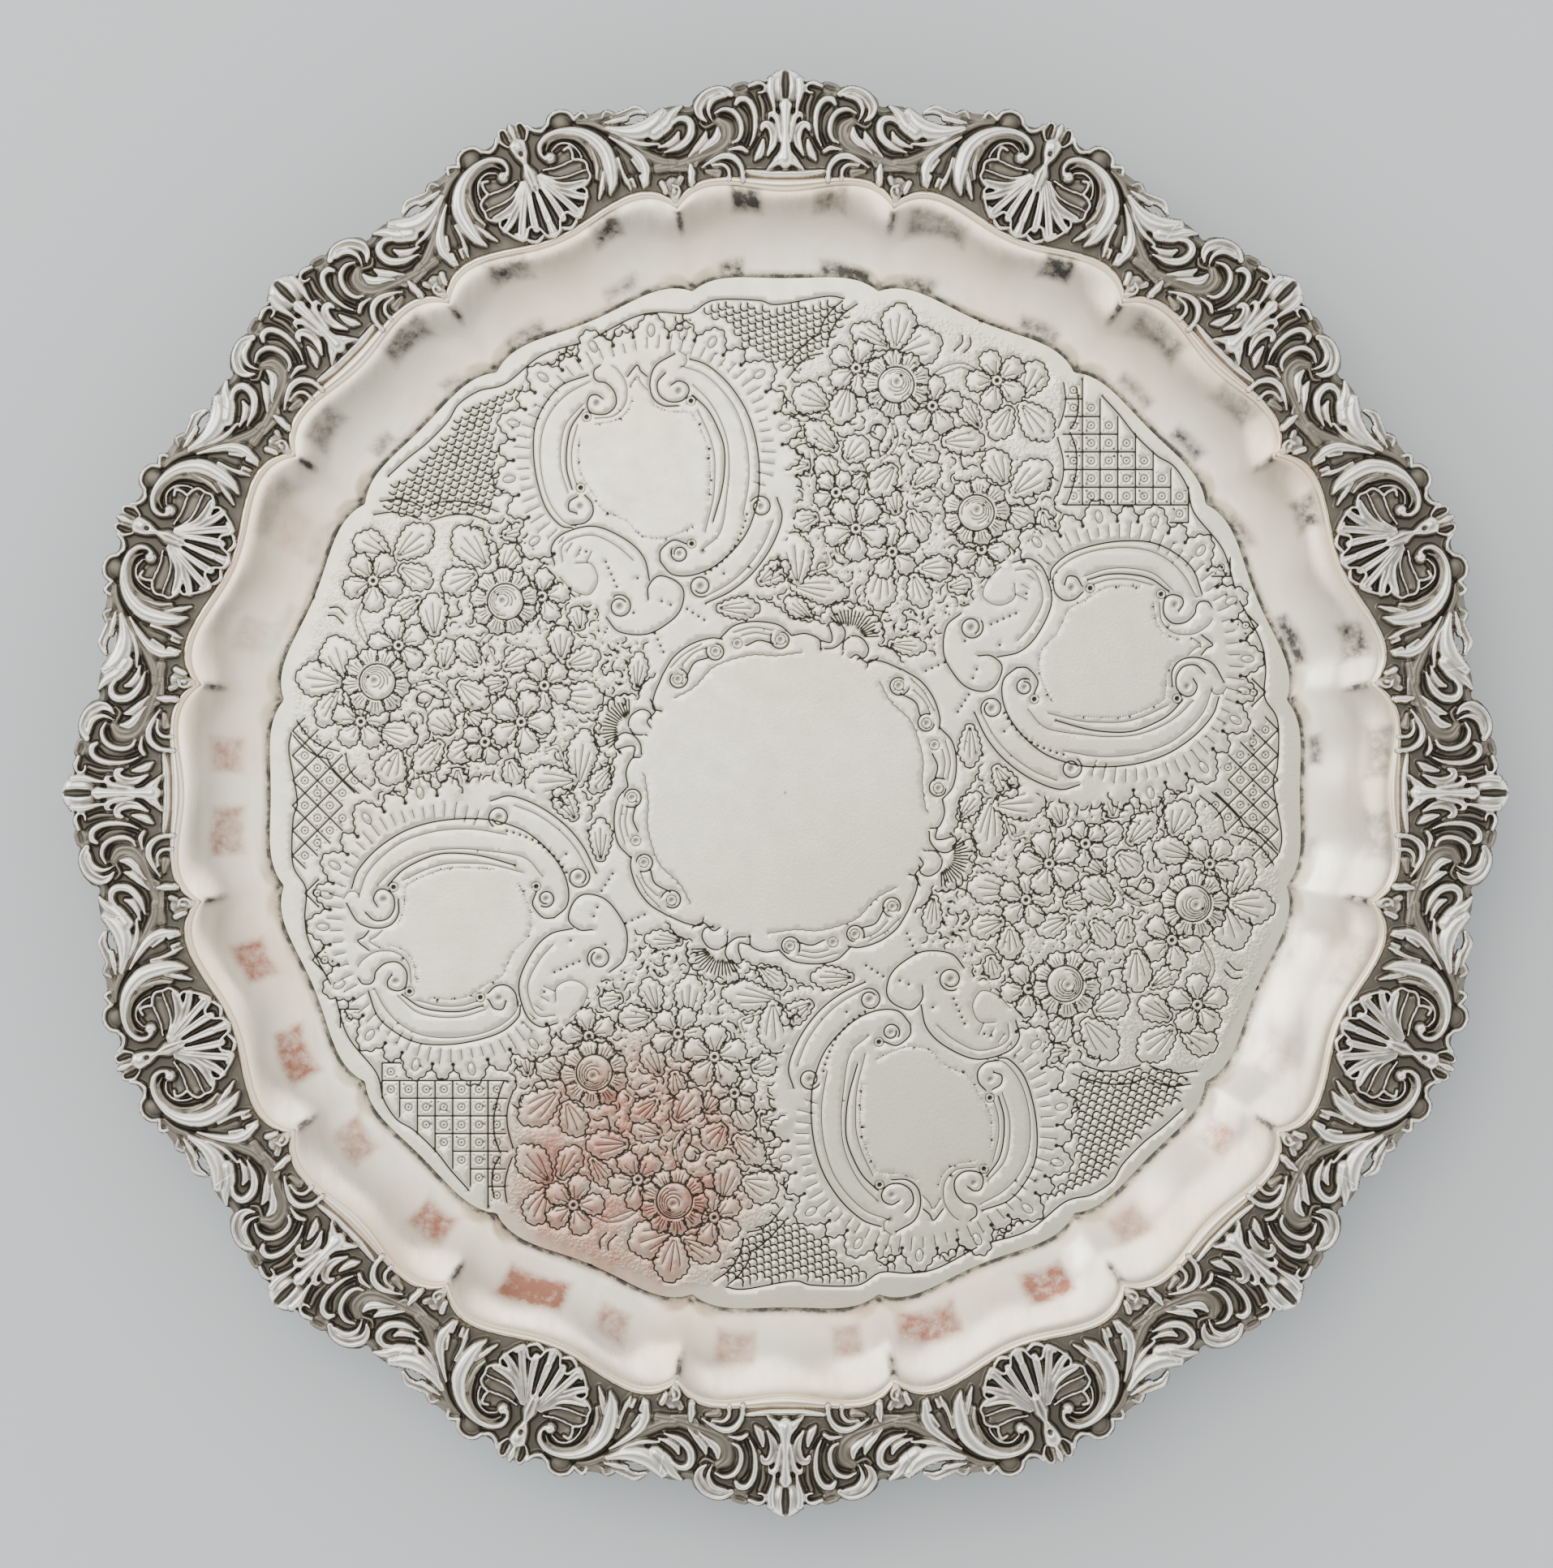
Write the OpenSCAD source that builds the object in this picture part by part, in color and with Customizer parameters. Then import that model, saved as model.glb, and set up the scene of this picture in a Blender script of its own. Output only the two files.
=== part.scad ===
// Round salver with an eight-fold border.
// A plate raised from one sheet carries sixteen cast border sections, eight crests and eight shells.
// A wavy moulding wire runs inside the castings, in sixteen lengths that are mitred at the cusps.
// Four low scroll feet stand under the field, each on a soldered pad.
// A lobe is the stretch from one cusp to the next. Lobe 0 has its axis on +X, even lobes carry crests
// and odd lobes carry shells.

/* [Overall] */
// Diameter over the tips of the border
salver_d = 420; // [320:5:520]
// Width of the cast border, from the cusps to the tips
border_w = 36; // [30:1:44]
// Width of the bouge, the sloping band round the field, at the cusps
bouge_w = 24; // [18:1:34]
// Height that the bouge rises above the field
bouge_h = 13; // [8:1:20]
// Thickness of the plate's sheet
sheet_t = 1.2; // [0.8:0.1:2]

/* [Lobes] */
// Half angle of a crest's lobe, from its axis to the cusp
crest_half = 10.5; // [8:0.5:14]
// How far the rim swings outwards between two cusps
rim_swing = 5; // [2:0.5:8]
// How far the field's edge swings outwards between two cusps
field_swing = 2.4; // [1:0.2:4]

/* [Moulding] */
// Width of the moulding wire
wire_w = 3.2; // [2:0.2:5]
// Height of the moulding wire
wire_h = 2.2; // [1.4:0.2:4]

/* [Border castings] */
// How far the outline draws in between a crest and a shell
tip_drop = 9; // [4:1:14]
// Thickness of a casting along its edges
edge_t = 2.4; // [1.6:0.1:4]
// Height of the relief above the edges
relief_h = 4.6; // [2:0.2:8]
// Number of ribs on a shell
shell_ribs = 9; // [5:2:13]
// Width of the plate's flange under the castings
flange_w = 8; // [5:1:12]

/* [Feet] */
// Height of a foot
foot_h = 16; // [12:1:30]
// Width of a foot
foot_w = 14; // [10:1:18]
// Length of a foot, from heel to toe
foot_l = 28; // [24:1:36]
// Diameter of the scroll at the toe
toe_d = 9; // [7:0.5:11]
// Diameter of a foot's soldered pad
pad_d = 26; // [24:1:34]
// Thickness of a pad
pad_t = 1; // [0.6:0.1:2]
// Distance of a pad's edge inside the field's edge
pad_inset = 6; // [3:1:20]

/* [Hidden] */
$fn = 48;
pairs = 8;                 // crests, and as many shells
feet = 4;
lobes = 2 * pairs;
pitch = 360 / lobes;       // angle from one lobe's axis to the next
steps = 10;                // straight lengths that a lobe's curve is divided into
fine = 3;                  // columns of a casting to each of those lengths
rows = 8;                  // rows of a casting from the moulding to the outline
bouge_rings = 6;           // rings of the plate across the bouge
crest_dip = 0.6;           // share of the swing that is left on a crest's axis
shell_dip = 0.05;          // and on a shell's axis, under the fan
wire_wall = 0.36;          // share of the wire's height that is a straight wall
neck_l = 15;               // length of a foot where it meets its pad
land_l = 6;                // length of the flat that a foot stands on
land_h = 1.2;              // height of that flat's edge

cusp_r = salver_d / 2 - border_w;
field_cusp_r = cusp_r - bouge_w;
field_z = foot_h + pad_t + sheet_t;
rim_z = field_z + bouge_h;
foot_r = field_cusp_r - pad_inset - pad_d / 2;

// ---- curves of a lobe: u runs from -1 at one cusp, through 0 on the axis, to 1 at the next cusp

function is_crest(lobe) = lobe % 2 == 0;
function half_angle(lobe) = is_crest(lobe) ? crest_half : pitch - crest_half;
function angle(lobe, u) = lobe * pitch + u * half_angle(lobe);
function dip(lobe) = is_crest(lobe) ? crest_dip : shell_dip;

// Two humps with a dip on the axis, zero at the cusps
function wave(lobe, u, swing) =
    let (axis_rise = dip(lobe) * swing, hump = swing - axis_rise / 2)
    axis_rise * (1 - u * u) + 4 * hump * u * u * (1 - u * u);

function wire_mid(lobe, u) = cusp_r + wave(lobe, u, rim_swing);
function wire_in(lobe, u) = wire_mid(lobe, u) - wire_w / 2;
function wire_out(lobe, u) = wire_mid(lobe, u) + wire_w / 2;
function field_edge(lobe, u) = field_cusp_r + wave(lobe, u, field_swing);
function outline(lobe, u) =
    let (a = angle(lobe, u)) salver_d / 2 - tip_drop * (1 - pow(abs(cos(180 / pitch * a)), 1.4));

function u_at(j, count) = -1 + 2 * j / count;
function polar(a, r, z) = [r * cos(a), r * sin(a), z];
function mix(p, q, t) = p + t * (q - p);

// ---- solids from loops of points

// Joins equal loops of points into a tube, and closes both ends
module loft(loops) {
    n = len(loops[0]);
    m = len(loops);
    sides = [for (i = [0:m - 2]) for (j = [0:n - 1])
        let (k = (j + 1) % n) each [
            [i * n + j, i * n + k, (i + 1) * n + k],
            [i * n + j, (i + 1) * n + k, (i + 1) * n + j]]];
    first = [[for (j = [n - 1:-1:0]) j]];
    last = [[for (j = [0:n - 1]) (m - 1) * n + j]];
    polyhedron([for (l = loops) each l], concat(first, sides, last));
}

// ---- the plate

// One ring of the plate; place gives the radius at a lobe's u
function ring(z, place) =
    [for (lobe = [0:lobes - 1]) for (j = [0:steps - 1])
        let (u = u_at(j, steps)) polar(angle(lobe, u), place(lobe, u), z)];

function bouge_place(s) = function (lobe, u) mix(field_edge(lobe, u), wire_in(lobe, u), s);
// Steep beside the field, and level where it meets the flange
function bouge_rise(s) = bouge_h * (1 - pow(1 - s, 1.8));
flange_place = function (lobe, u) wire_out(lobe, u) + flange_w;

module plate() {
    color("gainsboro")
        loft(concat(
            [for (i = [0:bouge_rings]) let (s = i / bouge_rings)
                ring(field_z - sheet_t + bouge_rise(s), bouge_place(s))],
            [ring(rim_z - sheet_t, flange_place), ring(rim_z, flange_place)],
            [for (i = [bouge_rings:-1:0]) let (s = i / bouge_rings)
                ring(field_z + bouge_rise(s), bouge_place(s))]));
}

// ---- the moulding wire, a half-round section on the flange

function wire_section(lobe, u) =
    let (a = angle(lobe, u), mid = wire_mid(lobe, u), wall = wire_wall * wire_h)
    [for (p = concat([[-1, 0]],
                     [for (t = [180:-45:0]) [cos(t), wall / wire_h + (1 - wall / wire_h) * sin(t)]],
                     [[1, 0]]))
        polar(a, mid + p[0] * wire_w / 2, rim_z + p[1] * wire_h)];

module moulding(lobe) {
    color("gainsboro")
        loft([for (j = [0:steps]) wire_section(lobe, u_at(j, steps))]);
}

// ---- the border castings, a relief over a flat back

// The casting's inner wall follows the moulding's straight lengths exactly
function inner_xy(lobe, c) =
    let (j = min(floor(c / fine), steps - 1), t = c / fine - j)
    let (u0 = u_at(j, steps), u1 = u_at(j + 1, steps))
    mix(polar(angle(lobe, u0), wire_out(lobe, u0), 0), polar(angle(lobe, u1), wire_out(lobe, u1), 0), t);

function outer_xy(lobe, u) = polar(angle(lobe, u), outline(lobe, u), 0);

// A fan of ribs that opens inwards from a hinge near the tip
function shell_pattern(u, v) =
    let (bearing = atan2(u, 0.95 - v)) 0.3 * cos(min(abs(u) * 90, 90)) + 0.16 * cos(bearing * shell_ribs);

// A palmette on the axis, with a scroll on each side of it
function crest_pattern(u, v) = 0.25 * cos(540 * abs(u) - 120 * v);

function relief(lobe, u, v) =
    let (body = pow(sin(180 * v), 0.6),
         pattern = is_crest(lobe) ? crest_pattern(u, v) : shell_pattern(u, v))
    edge_t + relief_h * body * (0.5 + (1 - u * u) * pattern);

// One radial slice: along the back from the moulding to the outline, then home over the relief
function slice(lobe, c) =
    let (u = u_at(c, fine * steps), p = inner_xy(lobe, c), q = outer_xy(lobe, u))
    concat(
        [p + [0, 0, rim_z], q + [0, 0, rim_z]],
        [for (i = [rows:-1:0]) let (v = i / rows)
            mix(p, q, v) + [0, 0, rim_z + relief(lobe, u, v)]]);

module casting(lobe) {
    color("silver")
        loft([for (c = [fine * steps:-1:0]) slice(lobe, c)]);
}

// ---- the feet

// Extrudes a side view to the width of a foot
module foot_slab() {
    rotate([90, 0, 0])
        linear_extrude(height = foot_w, center = true)
            children();
}

// A neck under the pad, a shank that runs outwards, a scroll at the toe and another at the heel
module foot_shape() {
    toe_r = toe_d / 2;
    toe_x = foot_l / 2 - toe_r;
    heel_r = foot_h * 0.22;
    foot_slab()
        polygon([
            [-neck_l / 2, foot_h],
            [neck_l / 2, foot_h],
            [toe_x + toe_r * 0.6, toe_r * 1.7],
            [toe_x, toe_r * 0.1],
            [toe_x - toe_r * 0.9, toe_r * 0.6],
            [-neck_l / 4, foot_h * 0.55]]);
    translate([toe_x, 0, toe_r])
        rotate([90, 0, 0])
            cylinder(r = toe_r, h = foot_w, center = true);
    translate([-neck_l / 4, 0, foot_h * 0.72])
        rotate([90, 0, 0])
            cylinder(r = heel_r, h = foot_w, center = true);
    translate([toe_x, 0, land_h / 2])
        cube([land_l, foot_w, land_h], center = true);
}

module on_foot_place(i) {
    rotate([0, 0, 360 / feet * (i - 0.5)])
        translate([foot_r, 0, 0])
            children();
}

module foot(i) {
    color("silver")
        on_foot_place(i)
            foot_shape();
}

module foot_plate(i) {
    color("gainsboro")
        on_foot_place(i)
            translate([0, 0, foot_h])
                cylinder(d = pad_d, h = pad_t);
}

// ---- the nodes

plate();
for (i = [1:pairs]) {
    casting(2 * i - 2);
    casting(2 * i - 1);
    moulding(2 * i - 2);
    moulding(2 * i - 1);
}
for (i = [1:feet]) {
    foot(i);
    foot_plate(i);
}
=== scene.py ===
import math
import bpy
import numpy as np
from mathutils import Matrix, Vector
from mathutils.geometry import delaunay_2d_cdt
from mathutils.kdtree import KDTree


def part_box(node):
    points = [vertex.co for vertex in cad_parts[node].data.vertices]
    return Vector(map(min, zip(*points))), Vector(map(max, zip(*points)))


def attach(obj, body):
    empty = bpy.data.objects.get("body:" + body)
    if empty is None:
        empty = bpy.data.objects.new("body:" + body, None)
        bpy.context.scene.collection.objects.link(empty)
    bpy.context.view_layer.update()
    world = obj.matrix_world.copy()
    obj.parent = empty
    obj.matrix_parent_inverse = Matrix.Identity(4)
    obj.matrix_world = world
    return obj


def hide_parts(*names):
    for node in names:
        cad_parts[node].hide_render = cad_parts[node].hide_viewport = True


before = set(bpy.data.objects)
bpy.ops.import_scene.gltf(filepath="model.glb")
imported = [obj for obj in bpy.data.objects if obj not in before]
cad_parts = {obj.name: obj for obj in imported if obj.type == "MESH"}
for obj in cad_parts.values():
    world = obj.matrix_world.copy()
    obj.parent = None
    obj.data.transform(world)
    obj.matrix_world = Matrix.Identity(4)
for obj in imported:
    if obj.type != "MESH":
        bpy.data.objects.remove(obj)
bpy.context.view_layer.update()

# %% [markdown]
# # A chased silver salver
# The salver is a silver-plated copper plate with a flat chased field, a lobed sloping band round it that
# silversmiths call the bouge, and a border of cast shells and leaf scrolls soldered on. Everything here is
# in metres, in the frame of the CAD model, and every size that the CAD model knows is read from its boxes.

MM = 0.001
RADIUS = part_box("crest_mount_1")[1][0] / MM
RIM_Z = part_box("plate")[1][2] / MM
PAD_LOW, PAD_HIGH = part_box("foot_plate_1")
SHEET = 1.2
FIELD_Z = PAD_HIGH[2] / MM + SHEET
print(f"radius {RADIUS:.1f} mm, rim at {RIM_Z:.1f} mm, field at {FIELD_Z:.1f} mm")

# %% [markdown]
# ## The curve of the rim
# The rim is cut into sixteen lobes, and their outline is a wave: two humps and a dip between each two
# cusps. It could be traced point by point, but the same wave shapes the field's edge, the bouge and the
# moulding wire, so it is one formula. An angle is turned into a place inside its lobe, from -1 at one cusp
# to 1 at the next.

# %% The lobed wave
PAIRS = 8
PITCH = 180 / PAIRS
CREST_HALF = 10.5
BORDER_W, BOUGE_W, TIP_DROP = 36.0, 24.0, 9.0
CUSP_R = RADIUS - BORDER_W
FIELD_R = CUSP_R - BOUGE_W
RIM_SWING, FIELD_SWING = 5.0, 2.4
CREST_DIP, SHELL_DIP = 0.6, 0.05
WIRE_W, WIRE_H = 3.2, 2.2


def lobe_place(deg):
    """The place inside a lobe, and whether that lobe carries a crest."""
    turn = (np.asarray(deg, float) + PITCH) % (2 * PITCH) - PITCH
    crest = np.abs(turn) <= CREST_HALF
    u = np.where(crest, turn / CREST_HALF, (np.abs(turn) - PITCH) / (PITCH - CREST_HALF))
    return u, crest


def wave(deg, swing, soft=0.0):
    """How far the outline stands out from its cusps; soft rounds the cusps off.

    The factors 4 and 6.75 bring the top of a hump to its full height in each of the two curves."""
    u, crest = lobe_place(deg)
    rise = np.where(crest, CREST_DIP, SHELL_DIP) * swing
    hump = swing - rise / 2
    sharp = rise * (1 - u**2) + 4 * hump * u**2 * (1 - u**2)
    round_ = rise * (1 - u**2) ** 2 + 6.75 * hump * u**2 * (1 - u**2) ** 2
    return sharp + (round_ - sharp) * soft


def wire_mid(deg):
    return CUSP_R + wave(deg, RIM_SWING)


def field_edge(deg):
    return FIELD_R + wave(deg, FIELD_SWING)


print(f"cusps at {CUSP_R:.0f} mm, field out to {field_edge(7.0):.1f} mm")

# %% [markdown]
# ## Small tools
# Operators act on all that is selected, so nothing may be left selected by chance. Most pieces start as a
# flat grid whose two directions are bent to run round and across the piece, as a sheet is raised over a
# stake. The merge by distance afterwards closes the seam where a grid has gone right round.

# %% Tools for pieces
def deselect_all():
    if bpy.context.object and bpy.context.object.mode != "OBJECT":
        bpy.ops.object.mode_set(mode="OBJECT")
    bpy.ops.object.select_all(action="DESELECT")


def read_points(mesh):
    points = np.empty(len(mesh.vertices) * 3)
    mesh.vertices.foreach_get("co", points)
    return points.reshape(-1, 3)


def write_points(mesh, points):
    mesh.vertices.foreach_set("co", np.ascontiguousarray(points, float).ravel())
    mesh.update()


def bent_grid(name, across, along, place=None):
    """A grid whose u and v, both 0 to 1, are bent by place into a surface in millimetres."""
    deselect_all()
    bpy.ops.mesh.primitive_grid_add(x_subdivisions=across, y_subdivisions=along, size=2)
    piece = bpy.context.object
    piece.name = piece.data.name = name
    flat = read_points(piece.data)
    u, v = (flat[:, 0] + 1) / 2, (flat[:, 1] + 1) / 2
    if place:
        write_points(piece.data, place(u, v) * MM)
    return piece, u, v


def close_up(piece, fill=False):
    """Merges the seam, fills open ends and turns the faces outwards."""
    deselect_all()
    piece.select_set(True)
    bpy.context.view_layer.objects.active = piece
    bpy.ops.object.mode_set(mode="EDIT")
    bpy.ops.mesh.select_all(action="SELECT")
    bpy.ops.mesh.remove_doubles(threshold=1e-6)
    if fill:
        bpy.ops.mesh.fill_holes(sides=0)
    bpy.ops.mesh.select_all(action="SELECT")
    bpy.ops.mesh.normals_make_consistent(inside=False)
    bpy.ops.object.mode_set(mode="OBJECT")
    bpy.ops.object.shade_smooth()
    bpy.ops.object.select_all(action="DESELECT")


def stack(x, y, z):
    return np.stack([x, y, z * np.ones_like(x)], axis=-1)


def polar(deg, radius, z):
    turn = np.radians(deg)
    return stack(np.cos(turn) * radius, np.sin(turn) * radius, z)


def set_attribute(piece, name, values):
    layer = piece.data.attributes.new(name, "FLOAT", "POINT")
    layer.data.foreach_set("value", np.ascontiguousarray(values, np.float32))


def clear_back(piece, back, *names):
    """A back is neither chased nor stained, so it loses the marks that it took from the front."""
    for name in names:
        layer = piece.data.attributes[name].data
        values = np.zeros(len(layer), np.float32)
        layer.foreach_get("value", values)
        values[back] = 0
        layer.foreach_set("value", values)


def turned_copy(piece, name, degrees):
    """A copy with its own mesh, turned about the salver's axis."""
    twin = piece.copy()
    twin.data = piece.data.copy()
    twin.name = twin.data.name = name
    twin.data.transform(Matrix.Rotation(math.radians(degrees), 4, "Z"))
    bpy.context.scene.collection.objects.link(twin)
    return twin


def faces_of(piece):
    return len(piece.data.polygons)


# %% [markdown]
# ## Finishes
# One function turns a hex colour to linear light, and one adds a node with its settings and links. Each
# finish then starts from what the metal is and how it was worked.

# %% Tools for finishes
def linear(hex_colour):
    """An sRGB hex colour as linear red, green, blue and alpha."""
    parts = [int(hex_colour[i:i + 2], 16) / 255 for i in (1, 3, 5)]
    return [c / 12.92 if c <= 0.04045 else ((c + 0.055) / 1.055) ** 2.4 for c in parts] + [1.0]


def add(tree, kind, settings=None, **inputs):
    """Adds a node; a value sets a socket, and a socket is linked to it."""
    made = tree.nodes.new("ShaderNode" + kind)
    for key, value in (settings or {}).items():
        setattr(made, key, value)
    for key, value in inputs.items():
        socket = made.inputs[int(key[1:]) if key[1:].isdigit() else key.replace("_", " ")]
        if isinstance(value, bpy.types.NodeSocket):
            tree.links.new(value, socket)
        else:
            socket.default_value = value
    return made


def new_finish(name):
    finish = bpy.data.materials.new(name)
    finish.use_nodes = True
    tree = finish.node_tree
    shader = tree.nodes["Principled BSDF"]
    shader.inputs["Metallic"].default_value = 1.0
    return finish, tree, shader


def mix_colours(tree, factor, first, second):
    return add(tree, "Mix", {"data_type": "RGBA"}, _0=factor, _6=first, _7=second).outputs[2]


def ramp(tree, value, low, high, to_low=0.0, to_high=1.0):
    return add(tree, "MapRange", None, _0=value, _1=low, _2=high, _3=to_low, _4=to_high).outputs[0]


def noise(tree, place, size_mm, detail=3.0, roughness=0.5):
    """Noise whose blotches are about size_mm across."""
    return add(tree, "TexNoise", None, Vector=place, Scale=1 / (size_mm * MM), Detail=detail,
               Roughness=roughness).outputs[0]


def attribute(tree, name):
    """A value that a piece's vertices carry."""
    return add(tree, "Attribute", {"attribute_name": name}).outputs["Fac"]


def multiply(tree, first, second, clamp=False):
    settings = {"operation": "MULTIPLY", "use_clamp": clamp}
    return add(tree, "Math", settings, _0=first, _1=second).outputs[0]


def multiply_add(tree, value, factor, more):
    return add(tree, "Math", {"operation": "MULTIPLY_ADD"}, _0=value, _1=factor, _2=more).outputs[0]


def link_finish(tree, shader, colour, roughness, relief, strength, depth_mm):
    """Links a finish's colour, roughness and fine relief to its shader."""
    bump = add(tree, "Bump", None, Strength=strength, Distance=depth_mm * MM, Height=relief)
    for value, socket in ((colour, "Base Color"), (roughness, "Roughness"), (bump.outputs[0], "Normal")):
        tree.links.new(value, shader.inputs[socket])


# %% Silver plate, polished on the bouge and the wire
def polished_plate():
    """Silver plate, buffed. It mirrors softly, with a warm bloom and hairline wear; grey and rosy
    reflections and shade in the corners are painted into its colour."""
    finish, tree, shader = new_finish("polished_silver_plate")
    place = add(tree, "TexCoord").outputs["Object"]
    bloom = ramp(tree, noise(tree, place, 38, 3.0), 0.42, 0.68)
    streaks = add(tree, "Mapping", None, Vector=place, Scale=(1.0, 0.18, 1.0)).outputs[0]
    rub = noise(tree, streaks, 5, 5.0, 0.65)
    warm = mix_colours(tree, bloom, linear("#f8efdc"), linear("#f1dbc4"))
    tint = mix_colours(tree, ramp(tree, rub, 0.35, 0.75, 0.0, 0.35), warm, linear("#dcd4c2"))
    ragged = ramp(tree, noise(tree, place, 3.5, 4.0, 0.65), 0.3, 0.65, 0.55, 1.4)
    shades = tint
    # Painted shade and grey reflections, then painted rosy reflections, are mixed into the metal's colour
    # here.
    for name, colour in (("tarnish", "#4f4d4a"), ("copper", "#a3705e")):
        broken = multiply(tree, attribute(tree, name), ragged, clamp=True)
        shades = mix_colours(tree, broken, shades, linear(colour))
    roughness = ramp(tree, rub, 0.3, 0.7, 0.2, 0.34)
    hairs = noise(tree, streaks, 0.6, 2.0, 0.6)
    link_finish(tree, shader, shades, roughness, hairs, 0.05, 0.2)
    return finish


# %% Silver plate, oxidised on the castings
def oxidised_casting():
    """Cast silver plate, rubbed bright on the raised leaves and dark in the recesses with oxide and painted
    shade.
    """
    finish, tree, shader = new_finish("oxidised_silver_casting")
    place = add(tree, "TexCoord").outputs["Object"]
    blotch = noise(tree, place, 4, 4.0, 0.6)
    depth = ramp(tree, multiply_add(tree, blotch, 0.3, attribute(tree, "patina")), 0.15, 1.12)
    rubbed = mix_colours(tree, ramp(tree, depth, 0.0, 0.23), linear("#e9e6df"), linear("#857f75"))
    oxide_and_shade = mix_colours(tree, ramp(tree, depth, 0.4, 1.0), rubbed, linear("#625f58"))
    roughness = ramp(tree, depth, 0.0, 1.0, 0.26, 0.55)
    grain = noise(tree, place, 0.7, 3.0, 0.6)
    link_finish(tree, shader, oxide_and_shade, roughness, grain, 0.12, 0.2)
    return finish


# %% Silver plate, chased on the field
def chased_plate():
    """Silver plate worked with punches and left satin, dark in the bottom of each chased line, with
    a rosy reflection painted on one flower panel."""
    finish, tree, shader = new_finish("chased_silver_plate")
    place = add(tree, "TexCoord").outputs["Object"]
    matting = attribute(tree, "matting")
    bloom = ramp(tree, noise(tree, place, 45, 4.0), 0.4, 0.7)
    smudge = ramp(tree, noise(tree, place, 9, 5.0, 0.65), 0.35, 0.75, 0.0, 0.4)
    clean = mix_colours(tree, bloom, linear("#f0f0dc"), linear("#ece6d2"))
    worn = mix_colours(tree, smudge, clean, linear("#cdc9bd"))
    dirt = ramp(tree, attribute(tree, "patina"), 0.08, 0.6)
    specks = add(tree, "TexVoronoi", None, Vector=place, Scale=1 / (1.15 * MM)).outputs[0]
    specks = multiply(tree, ramp(tree, specks, 0.05, 0.42, 0.55, 0.0), matting)
    stippled = mix_colours(tree, specks, worn, linear("#77746b"))
    ragged = ramp(tree, noise(tree, place, 7, 4.0, 0.65), 0.3, 0.7, 0.5, 1.1)
    # A painted rosy reflection on one flower panel.
    rosy_patch = multiply(tree, attribute(tree, "copper"), ragged, clamp=True)
    tinted = mix_colours(tree, rosy_patch, stippled, linear("#b98474"))
    dark = mix_colours(tree, dirt, tinted, linear("#34322d"))
    roughness = ramp(tree, smudge, 0.0, 0.4, 0.3, 0.4)
    punches = add(tree, "TexVoronoi", None, Vector=place, Scale=1 / (0.9 * MM)).outputs[0]
    grain = noise(tree, place, 0.8, 3.0, 0.6)
    relief = multiply_add(tree, multiply(tree, punches, matting), 2.5, grain)
    link_finish(tree, shader, dark, roughness, relief, 0.2, 0.15)
    return finish


POLISHED = polished_plate()
OXIDISED = oxidised_casting()
CHASED = chased_plate()
print("finishes:", POLISHED.name, OXIDISED.name, CHASED.name)


def finish_piece(piece, material, slot, *nodes):
    """Gives a piece its finish, hangs it on the root body and hides the CAD nodes that it stands for."""
    piece.data.materials.clear()
    piece.data.materials.append(material)
    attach(piece, "root")
    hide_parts(*nodes)


def finish_round(first, count, material, slot, node):
    """Finishes a piece whose name ends in 1, and its copies turned round the salver."""
    for i in range(count):
        twin = first if i == 0 else turned_copy(first, f"{first.name[:-1]}{i + 1}", 360 / count * i)
        finish_piece(twin, material, slot, f"{node}_{i + 1}")


# %% [markdown]
# ## Floor, light and camera
# The salver lies on a plain pale surface under broad soft light. Metal shows what stands round it, so the
# light has to be wide: a pale world for the sides, and one large soft lamp overhead for the flat field.

# %% Stage
FLOOR_SIZE = 4
LENS, SENSOR = 90.0, 36
VIEW_HEIGHT = 0.4563
AIM = Vector((-0.0026, 0.0026, RIM_Z * MM))


def stage():
    deselect_all()
    bpy.ops.mesh.primitive_plane_add(size=FLOOR_SIZE)
    floor = bpy.context.object
    floor.name = "floor"
    paint, tree, shader = new_finish("pale_painted_board")
    shader.inputs["Metallic"].default_value = 0.0
    shader.inputs["Roughness"].default_value = 0.7
    shader.inputs["Base Color"].default_value = linear("#c2c9ce")
    floor.data.materials.append(paint)

    world = bpy.data.worlds.new("studio")
    world.use_nodes = True
    tree = world.node_tree
    up = add(tree, "SeparateXYZ", None, Vector=add(tree, "TexCoord").outputs["Generated"]).outputs["Z"]
    tree.nodes["Background"].inputs["Color"].default_value = linear("#e6e5e2")
    tree.links.new(ramp(tree, up, 0.2, 0.93, 2.9, 0.74), tree.nodes["Background"].inputs["Strength"])
    bpy.context.scene.world = world


def soft_lamp(name, place, size, watts, colour):
    bpy.ops.object.light_add(type="AREA", location=place)
    lamp = bpy.context.object
    lamp.name = name
    lamp.data.size = size
    lamp.data.energy = watts
    lamp.data.color = linear(colour)[:3]
    aim = Vector((0, 0, 0)) - Vector(place)
    lamp.rotation_euler = aim.to_track_quat("-Z", "Y").to_euler()


def look_down():
    eye = AIM + Vector((0, 0, VIEW_HEIGHT * LENS / SENSOR))
    bpy.ops.object.camera_add(location=eye, rotation=(0, 0, 0))
    camera = bpy.context.object
    camera.data.lens = LENS
    camera.data.sensor_width = SENSOR
    bpy.context.scene.camera = camera
    print(f"camera {eye.z:.2f} m above the floor")


stage()
soft_lamp("overhead", (-0.5, 0.7, 2.2), 1.8, 30, "#fffaf2")
soft_lamp("side", (-2.0, 0.9, 1.1), 1.2, 16, "#f4f7fa")
look_down()

# %% [markdown]
# ## The bouge and the flange
# The bouge is raised from the same sheet as the field: steep beside the field, easing off towards the rim,
# with a pinch at each cusp. Spinning a section would give a plain round dish, so a grid is bent instead:
# one direction runs round the salver and the other up the section, and the lobed wave fades from the rim's
# to the field's. Solidify then gives the sheet its thickness.

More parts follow.
